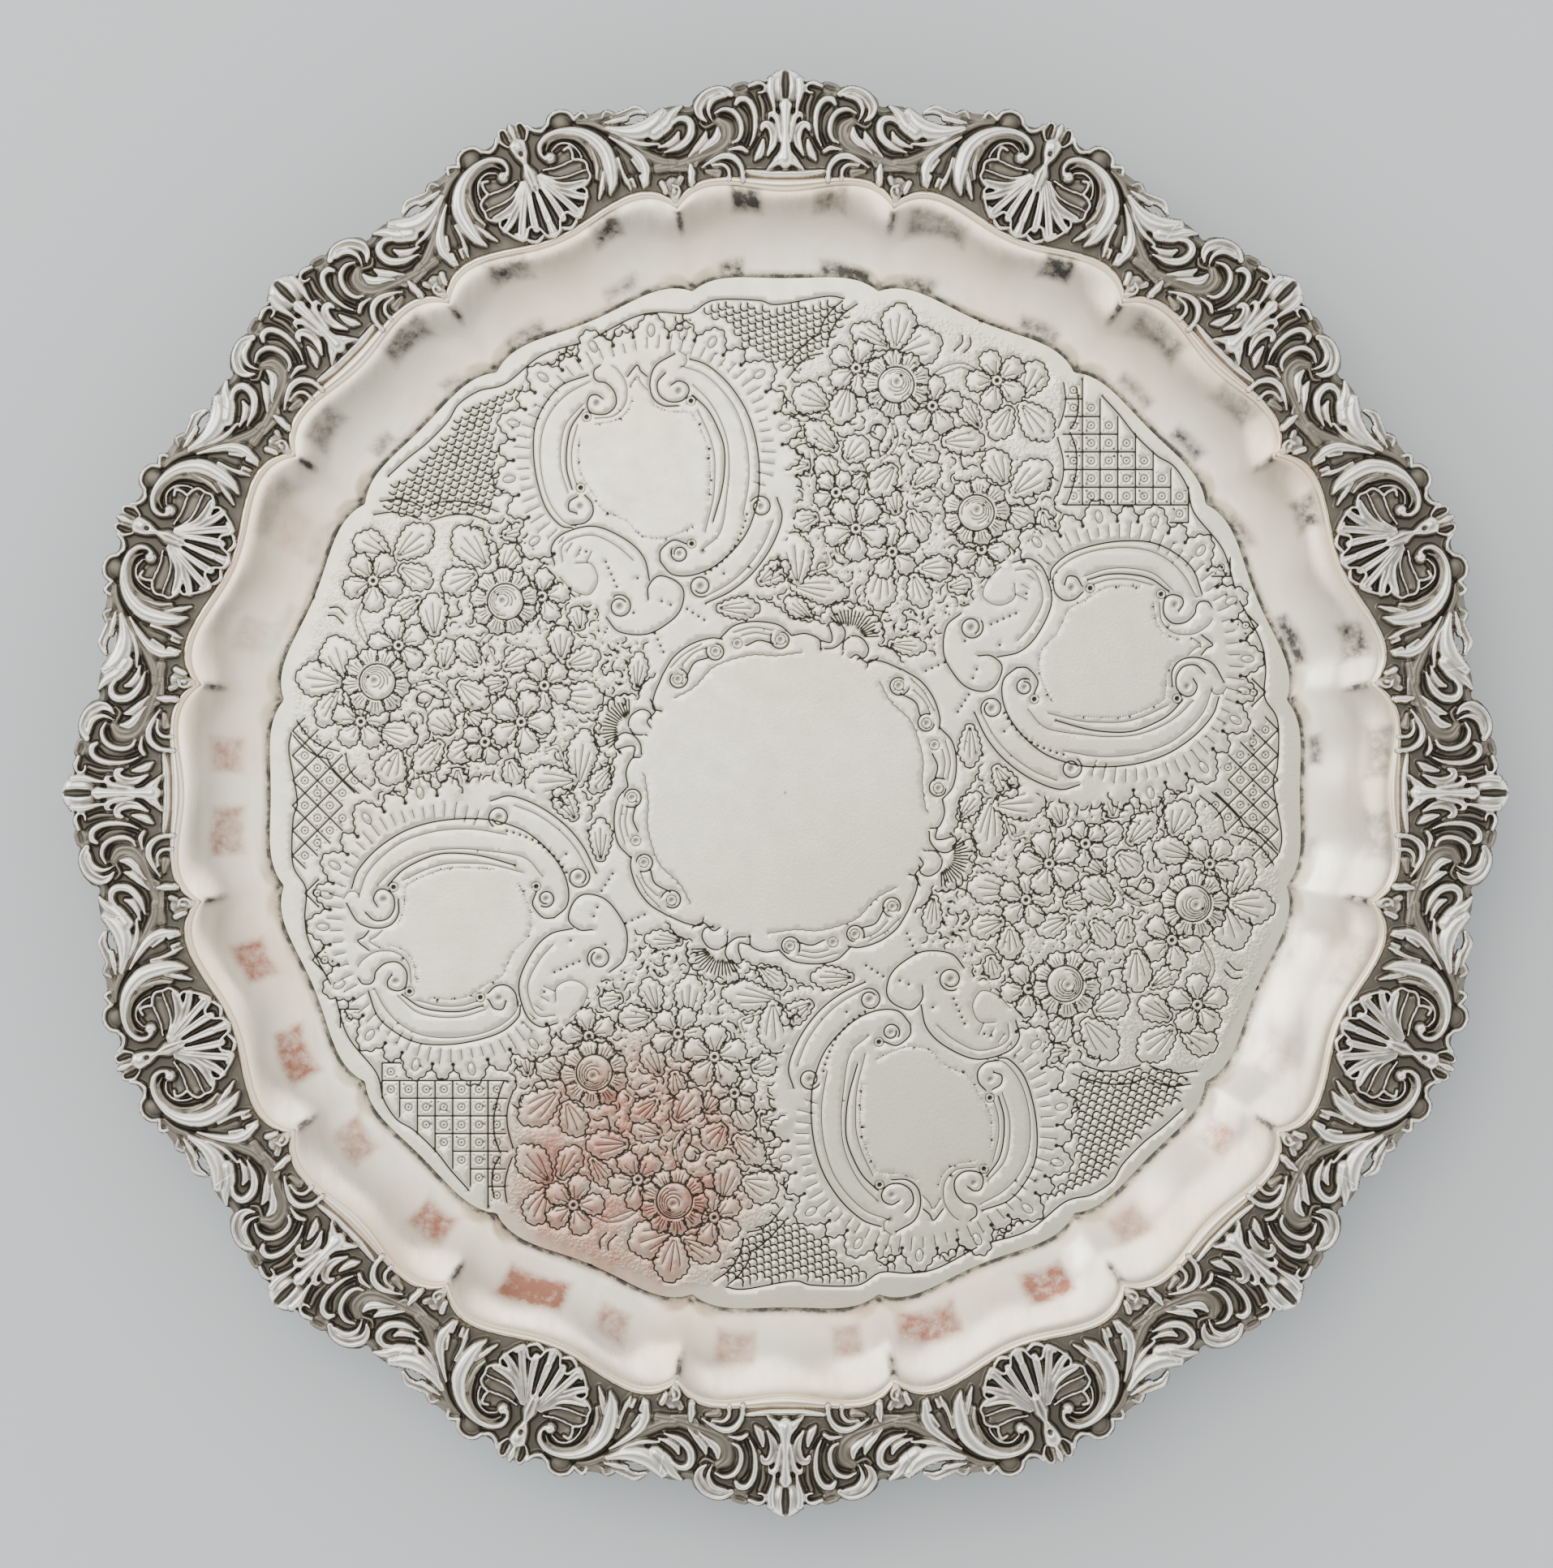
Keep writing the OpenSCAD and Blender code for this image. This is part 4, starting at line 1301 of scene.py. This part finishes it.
def flower_panel(covers):
    draw = Drawing(covers)
    draw.rose(-15.8, 124.4)
    draw.rose(20.4, 98.6, 25)
    for x, y, size, turn in FLOWERS:
        draw.flower(x, y, size, turn)
    for base, tip, width in LEAVES:
        draw.leaf(base, tip, width)
    for shift in (0, 1.3):
        draw.light((-7 + shift, 130.5), (-4 + shift, 134.5 - shift), (0, 136.8 - shift), (4, 136.8 - shift))
        draw.light((-14 + shift, 114), (-10.6 + shift, 109.5), (-10.4 + shift, 105), (-12.6 + shift, 101))
        draw.light((-16 + shift, 70), (-14 + shift, 67), (-18 + shift, 63))
        draw.trace((-3.4 + 2 * shift, 144.4), (-2.6 + 2 * shift, 142.4), (-3.6 + 2 * shift, 139.8))
    draw.trace((-14, 106.5), (-17, 107), (-17.6, 109.5), (-15.6, 111), (-13.2, 109.5), (-13.6, 105),
               (-12, 102))
    draw.light((3, 93.5), (7, 97.5), (10, 97), (3, 100))
    draw.light((1, 95.5), (6, 99.8), (10.5, 98.6))
    draw.trace((33.2, 130), (33, 134), (32, 138.5), (29.6, 142.8))
    draw.trace((36.6, 131), (37, 134.5), (36, 138.8), (33.6, 143))
    draw.trace((34.3, 127), (38, 122), (40, 117), (40.5, 111.5))
    draw.trace((37, 130), (40.5, 126), (43, 120), (44, 113), (44, 110))
    draw.trace((-39, 126), (-39.5, 131), (-38.5, 136), (-35.5, 141))
    draw.trace((-42.5, 129), (-42.6, 133), (-41.5, 137), (-39.8, 140.3))
    draw.trace((-46, 113), (-44.5, 118), (-42.6, 121.4), (-39.5, 123.6))
    draw.trace((-48.3, 116), (-46.6, 121), (-44.3, 126), (-42.3, 128.5))
    # the shell and the two curls over the centre
    draw.scallops((-10, 51.5), (-8, 56.3), (-3, 58.8), (2, 58.8), (7, 56.3), (9.5, 51.5), size=2.3, bulge=0.4)
    for degrees in np.arange(22, 160, 8.5):
        ray = ray_at(degrees)
        draw.trace(np.array((0, 50.2)) + ray * (4.6, 3.4), np.array((0, 50.2)) + ray * (8, 7.2))
    draw.trace((-7.4, 50), (-6.8, 51.6), (-4.5, 52.2), (-2, 50.8), (-1.4, 48), (-3, 45), (-5.5, 43.6))
    draw.trace((-7, 50.4), (-5, 48), (-4.6, 46), (-7.6, 45.4))
    draw.trace((0.2, 44), (-1, 47.5), (0.6, 50.2), (3.6, 50.6), (6.4, 48.6), (6.6, 46), (5, 44.8))
    draw.trace((10, 47), (7.6, 44.6), (4, 45.6), (2.6, 44))
    draw.beads((11, 57.3), (19, 58), pitch=2.1)
    draw.beads((23, 69), (23.5, 66.5), pitch=2)
    draw.beads((27, 76), (27.4, 69), pitch=2.1)
    draw.scallops((-17, 48.5), (-24, 50.5), (-30, 50.5), size=2.6)
    draw.leaf((11, 52), (22, 55.5), 5)
    draw.leaf((-12, 50), (-22, 53), 5)
    chance = np.random.default_rng(5)
    for x in np.arange(-46, 46, 2.9):
        for y in np.arange(52, 118, 2.9):
            mark = np.array((x, y)) + chance.uniform(-1, 1, 2)
            lean, size = chance.uniform(0, 360), chance.uniform(0.8, 1.5)
            if within(*mark, GROUND):
                hook = rotated([(-size, 0), (0, 0.5), (size * 0.9, -0.1)], lean) + mark
                if chance.random() < 0.6:
                    draw.trace(*hook)
                else:
                    draw.dot(*mark, 0.42)
    return draw


# %% [markdown]
# ### The centre
# The plain round reserve in the middle is framed by C-scrolls, two to a quarter, with a thread of short
# dashes inside them.

# %% Draw the centre
def centre_scrolls():
    draw = Drawing()
    draw.boss(-16.4, 43, 1.2)
    draw.boss(-3, 46.3, 1.2)
    draw.boss(3.8, 46, 1.2)
    draw.boss(16, 42.2, 1.2)
    draw.curl(-16.4, 43, 2.2, 3.1, 120, 0.8)
    draw.curl(-3, 46.3, 2.2, 2.8, 60, -0.8)
    draw.curl(16, 42.2, 2.2, 3.0, 60, -0.8)
    draw.trace((-20, 46), (-15, 49.5), (-9, 51), (-3, 50.5), (0, 49))
    draw.light((-13.5, 46.5), (-9, 48.3), (-5, 48.3))
    draw.light((-17, 47), (-12, 49), (-6, 49.8))
    draw.trace((0, 49.5), (5, 51.2), (11, 50), (17, 46.5), (19.5, 42))
    draw.light((6, 47.6), (10, 46.8), (13.6, 44.6))
    draw.light((4, 49.4), (10, 48.5), (15, 45.5))
    draw.trace((-14, 42.5), (-10, 45.6), (-6, 45.4))
    draw.trace((6, 44.4), (10, 44.4), (13.4, 42))
    draw.scallops((-20, 38.5), (-13, 39.3), (-6, 42.4), (0, 42.6), (7, 41.4), (13, 38.6), (21, 36.5),
                  size=2.4, kind=LIGHT, bulge=-0.3, gap=0.2)
    draw.trace((-21, 45), (-24.5, 41.5), (-26.5, 38), (-25, 36.5))
    draw.trace((19.5, 42), (23.5, 41), (26.5, 38), (26, 35.5))
    draw.scallops((-22, 47), (-27, 46), (-30, 42), size=2.2)
    draw.scallops((30, 41.5), (27, 45), (21.5, 46.8), size=2.2)
    return draw


# %% Put the field together
UP = 112.5
QUARTER = Drawing()
QUARTER.add(cartouche(), 0)
RIM = QUARTER.covers[-1]
QUARTER.add(centre_scrolls(), 0)
PANEL = flower_panel([rotated(RIM, 45), rotated(RIM, -45)])
PANEL.covers = PANEL.covers[2:]
QUARTER.add(PANEL, -45)
FIELD = Drawing()
for quarter in range(4):
    FIELD.add(QUARTER, UP - 90 + 90 * quarter)
    FIELD.add(diaper(quarter % 2 == 1, QUARTER), UP - 90 + 90 * quarter)
LENGTH = sum(np.hypot(*np.diff(path, axis=0).T).sum() for path, kind in FIELD.lines)
print(f"{len(FIELD.lines)} lines, {LENGTH / 1000:.1f} m long, and {len(FIELD.dots)} dots")


# %% [markdown]
# ### From drawing to metal
# The grooves need points close together, and the plain metal between them needs few, which an even grid
# can't give. So points are laid along each line, a row in its bottom and a row on each lip, a loose spread
# fills the rest, and a Delaunay triangulation joins them all up. A quarter with scales and a quarter with
# lattice are made once and each turned half round. Their edges run along the same two rays with the same
# points, so the quarters meet without a step. Each vertex then takes its height from how far it lies from
# the nearest line.

# %% Points for a quarter
SIDE_STEP = 0.6
LINE_CELL, LINE_MARGIN = 0.3, 0.25
LOOSE_X, LOOSE_Y, LOOSE_CELL, LOOSE_MARGIN = 1.45, 1.26, 1.0, 0.6
REACH, NEIGHBOUR = 152, 4.0
KEY = 100003


def cell_keys(points, cell):
    """One number for the square cell that each point lies in."""
    column, row = np.floor(points / cell).astype(np.int64).T
    return column * KEY + row


def thinned(points, cell, taken=None):
    """One point to a square cell, and none in the cells of points already taken."""
    key = cell_keys(points, cell)
    first = np.unique(key, return_index=True)[1]
    points, key = points[first], key[first]
    if taken is not None:
        points = points[~np.isin(key, cell_keys(taken, cell))]
    return points


def in_wedge(points, middle, margin):
    """Points between the two rays at 45 degrees on each side of middle, and inside the field's edge."""
    local = rotated(points, 90 - middle)
    clear = (local[:, 1] - np.abs(local[:, 0])) / math.sqrt(2)
    deg = np.degrees(np.arctan2(points[:, 1], points[:, 0]))
    return points[(clear > margin) & (np.hypot(*points.T) < field_edge(deg) - margin)]


def quarter_points(middle):
    deg = middle + np.linspace(-45, 45, ROUND // 4 + 1)
    rim = polar(deg, field_edge(deg), 0)[:, :2]
    reach = field_edge(middle + 45.0)
    along = np.linspace(0, reach, int(reach / SIDE_STEP))[1:-1, None]
    sides = [along * rim[side] / np.hypot(*rim[side]) for side in (0, -1)]
    border = np.vstack([[(0, 0)], sides[0], rim, sides[1][::-1]])

    bottoms, lips = [], []
    for path, kind in FIELD.lines:
        if len(in_wedge(path[[0, len(path) // 2, -1]], middle, -NEIGHBOUR)) == 0:
            continue
        path = path[np.unique(np.r_[0:len(path):2, len(path) - 1])]
        heading = np.gradient(path, axis=0)
        side = np.stack([-heading[:, 1], heading[:, 0]], 1)
        side *= HALF_WIDTH[kind] / (np.hypot(*heading.T)[:, None] + 1e-9)
        bottoms.append(path)
        lips += [path + side, path - side]
    for x, y, radius in FIELD.dots:
        for ring in ((radius, 7),) if radius < 0.7 else ((radius * 0.6, 6), (radius, 9), (radius + 0.4, 10)):
            turn = np.linspace(0, 2 * np.pi, ring[1], endpoint=False)
            lips.append(round_path(x, y, ring[0], turn))
        bottoms.append(np.array([(x, y)]))
    bottoms = thinned(in_wedge(np.vstack(bottoms), middle, LINE_MARGIN), LINE_CELL)
    lips = thinned(in_wedge(np.vstack(lips), middle, LINE_MARGIN), LINE_CELL, bottoms)
    across, up = np.meshgrid(np.arange(-REACH, REACH, LOOSE_X), np.arange(-REACH, REACH, LOOSE_Y))
    across[::2] += 0.72
    loose = in_wedge(np.stack([across.ravel(), up.ravel()], 1), middle, LOOSE_MARGIN)
    loose = thinned(loose, LOOSE_CELL, np.vstack([bottoms, lips]))
    return border, np.vstack([bottoms, lips, loose])


# %% Height and tone of the metal
def tree_of(points):
    tree = KDTree(len(points))
    for i, (x, y) in enumerate(points):
        tree.insert((x, y, 0), i)
    tree.balance()
    return tree


TREES = [tree_of(np.vstack([path for path, k in FIELD.lines if k == kind])) for kind in (FIRM, LIGHT)]
DOT_TREE = tree_of([(x, y) for x, y, radius in FIELD.dots])
DOT_SIZE = np.array([radius for x, y, radius in FIELD.dots])


def distances(tree, points):
    found = [tree.find((x, y, 0)) for x, y in points]
    return np.array([f[2] for f in found]), np.array([f[1] for f in found])


BANK_SHARE, BANK_WIDTH = 0.15, 0.9
DEEPEST_DOT, BIG_DOT = 0.3, 0.9


def chased(points):
    """Height over the flat field, tone and matting at each point."""
    height = np.zeros(len(points))
    tone = np.zeros(len(points))
    for x, y, length, width, heading, rise in FIELD.swells:
        here = np.hypot(points[:, 0] - x, points[:, 1] - y) < max(length, width)
        local = rotated(points[here] - (x, y), -heading)
        share = np.clip(1 - (local[:, 0] / length) ** 2 - (local[:, 1] / width) ** 2, 0, 1)
        height[here] = np.maximum(height[here], rise * share * (2 - share))
    for kind in (FIRM, LIGHT):
        away = distances(TREES[kind], points)[0]
        groove = np.clip(1 - away / HALF_WIDTH[kind], 0, 1)
        height -= DEPTH[kind] * (groove + BANK_SHARE * np.exp(-(away / BANK_WIDTH) ** 2))
        tone = np.maximum(tone, TONE[kind] * np.clip(1.4 * groove, 0, 1))
    away, which = distances(DOT_TREE, points)
    size = DOT_SIZE[which]
    pit = np.clip(1.15 - (away / size) ** 2, 0, 1)
    height -= np.minimum(DEEPEST_DOT, 0.6 * size) * pit
    tone = np.maximum(tone, np.where(size > BIG_DOT, 0.5, 0.95) * pit)
    matting = np.zeros(len(points))
    covered = np.zeros(len(points), bool)
    for quarter in range(4):
        matting[within(*points.T, rotated(GROUND, UP - 135 + 90 * quarter))] = 1
    for outline in FIELD.covers:
        covered |= within(*points.T, outline)
    return height, tone, np.where(covered, 0, matting)


# %% Make the quarters
PANEL_R = 120
ROSE_FADE = (24, 52)
STRONGEST_ROSE = 0.95


def field_quarter(name, middle):
    border, points = quarter_points(middle)
    corners = [Vector(p) for p in np.vstack([border, points])]
    loop = [(i, (i + 1) % len(border)) for i in range(len(border))]
    joined = delaunay_2d_cdt(corners, loop, [], 1, 1e-5)
    flat = np.array([tuple(v) for v in joined[0]])
    height, tone, matting = chased(flat)
    surface = bpy.data.meshes.new(name)
    surface.from_pydata(stack(flat[:, 0], flat[:, 1], FIELD_Z + height) * MM, [], joined[2])
    piece = bpy.data.objects.new(name, surface)
    bpy.context.scene.collection.objects.link(piece)
    set_attribute(piece, "patina", np.clip(tone, 0, 1))
    set_attribute(piece, "matting", matting)
    flat_back(piece, (FIELD_Z - SHEET) * MM, crisp=True)
    clear_back(piece, on_back(piece), "patina", "matting")
    return piece


def on_back(piece):
    return read_points(piece.data)[:, 2] < (FIELD_Z - SHEET * 0.9) * MM


def paint_rosy_reflection(piece):
    """Paints a rosy reflection on the flower panel on one side, strongest in its middle."""
    place = read_points(piece.data) / MM
    x, y = off(0, 0, PANEL_R, REFLECTION_SIDE)
    away = np.hypot(place[:, 0] - x, place[:, 1] - y)
    set_attribute(piece, "copper", STRONGEST_ROSE * (1 - smooth_step(away, *ROSE_FADE)))
    clear_back(piece, on_back(piece), "copper")


for i in range(2):
    first = field_quarter(f"field_quarter_{i + 1}", UP - 90 + 90 * i)
    twin = turned_copy(first, f"field_quarter_{i + 3}", 180)
    for piece in (first, twin):
        paint_rosy_reflection(piece)
        finish_piece(piece, CHASED, "plated_sheet", "plate")
    print(first.name, faces_of(first), "faces")


# %% [markdown]
# ## The feet
# Four small cast feet carry the salver: an S-scroll that starts in a roll under its pad and ends in a roll
# that stands on the table. A cast scroll is a band of metal with reeds along it, so a grid is bent into a
# flat tube that follows the scroll, narrow in the rolls and broad in between. The pad is a plain disc
# with a softened edge.

# %% The scroll of a foot
FOOT_H = PAD_LOW[2] / MM
PAD_D = (PAD_HIGH[0] - PAD_LOW[0]) / MM
FOOT_R = math.hypot((PAD_LOW[0] + PAD_HIGH[0]) / 2, (PAD_LOW[1] + PAD_HIGH[1]) / 2) / MM
FEET, FOOT_TURN = 4, 45
HEEL_ROLL, TOE_ROLL = (-4.2, 11.6), (9.6, 3.2)
BAND_HALF = [4.2, 5.6, 6.6, 6.2, 4.6]
REEDS = 3


def scroll_line():
    """The side view of the band, outwards and upwards, from one roll to the other."""
    heel = round_path(*HEEL_ROLL, np.linspace(0.9, 3.0, 40), np.radians(np.linspace(-250, 60, 40)))
    toe = round_path(*TOE_ROLL, np.linspace(3.8, 1.4, 44), np.radians(np.linspace(118, -215, 44)))
    shank, _ = spine([heel[-1], (0.2, 11.2), (3.6, 8.6), toe[0]], 0.3)
    return np.vstack([heel, shank[1:-1], toe])


def foot_surface(u, v):
    """The band as a flat tube: u runs along the scroll, and v goes round the band."""
    line = scroll_line()
    share = np.linspace(0, 1, len(line))
    out = np.interp(u, share, line[:, 0])
    up = np.interp(u, share, line[:, 1])
    heading = np.gradient(line, axis=0)
    heading /= np.hypot(*heading.T)[:, None]
    side_x, side_z = -np.interp(u, share, heading[:, 1]), np.interp(u, share, heading[:, 0])
    turn = v * 2 * np.pi
    half = np.interp(u, [0, 0.3, 0.55, 0.75, 1], BAND_HALF)
    across = np.sign(np.cos(turn)) * np.abs(np.cos(turn)) ** 0.6 * half
    thick = np.sign(np.sin(turn)) * np.abs(np.sin(turn)) ** 0.7
    reeds = 0.5 + 0.5 * np.cos(REEDS * np.pi * across / half)
    thick = thick * (0.7 + 0.45 * reeds)
    return stack(FOOT_R + out + thick * side_x, across, up + thick * side_z)


BAND = np.hypot(*np.diff(scroll_line(), axis=0).T).sum()
print(f"a foot is rolled from {BAND:.0f} mm of band, and stands {FOOT_R:.0f} mm from the centre")


# %% Make the feet
NECK_LOW_R, NECK_HIGH_R, NECK_H, NECK_OUT = 4.2, 7.0, 4.4, -3.2
FOOT_TONE = 0.3


def soften(piece, width):
    """Bevels the edges and puts the place into the mesh."""
    deselect_all()
    piece.select_set(True)
    bpy.context.view_layer.objects.active = piece
    bevel = piece.modifiers.new("edge", "BEVEL")
    bevel.width = width * MM
    bevel.segments = 3
    bpy.ops.object.modifier_apply(modifier="edge")
    bpy.ops.object.transform_apply(location=True, rotation=True, scale=True)
    bpy.ops.object.shade_smooth_by_angle(angle=math.radians(40))


def join(parts):
    deselect_all()
    for part in parts:
        part.select_set(True)
    bpy.context.view_layer.objects.active = parts[0]
    bpy.ops.object.join()
    deselect_all()


def make_foot():
    """A scroll with a short neck under its pad, cut level where it would reach below the table."""
    foot, _, _ = bent_grid("scroll_foot_1", 220, 72, foot_surface)
    close_up(foot, fill=True)
    bpy.ops.mesh.primitive_cone_add(
        vertices=48, radius1=NECK_LOW_R * MM, radius2=NECK_HIGH_R * MM, depth=NECK_H * MM,
        location=((FOOT_R + NECK_OUT) * MM, 0, (FOOT_H - NECK_H / 2) * MM))
    neck = bpy.context.object
    soften(neck, 0.5)
    join([foot, neck])
    points = read_points(foot.data)
    write_points(foot.data, np.maximum(points, (-1, -1, 0)))
    set_attribute(foot, "patina", np.full(len(points), FOOT_TONE))
    foot.data.transform(Matrix.Rotation(math.radians(FOOT_TURN), 4, "Z"))
    return foot


def make_pad():
    x, y = off(0, 0, FOOT_R * MM, FOOT_TURN)
    deselect_all()
    bpy.ops.mesh.primitive_cylinder_add(
        vertices=72, radius=PAD_D / 2 * MM, depth=(PAD_HIGH[2] - PAD_LOW[2]),
        location=(x, y, (PAD_LOW[2] + PAD_HIGH[2]) / 2))
    pad = bpy.context.object
    pad.name = pad.data.name = "foot_pad_1"
    soften(pad, 0.35)
    return pad


foot, pad = make_foot(), make_pad()
finish_round(foot, FEET, OXIDISED, "plated_foot", "foot")
finish_round(pad, FEET, POLISHED, "plated_foot", "foot_plate")
print("feet of", faces_of(foot), "faces, pads of", faces_of(pad))
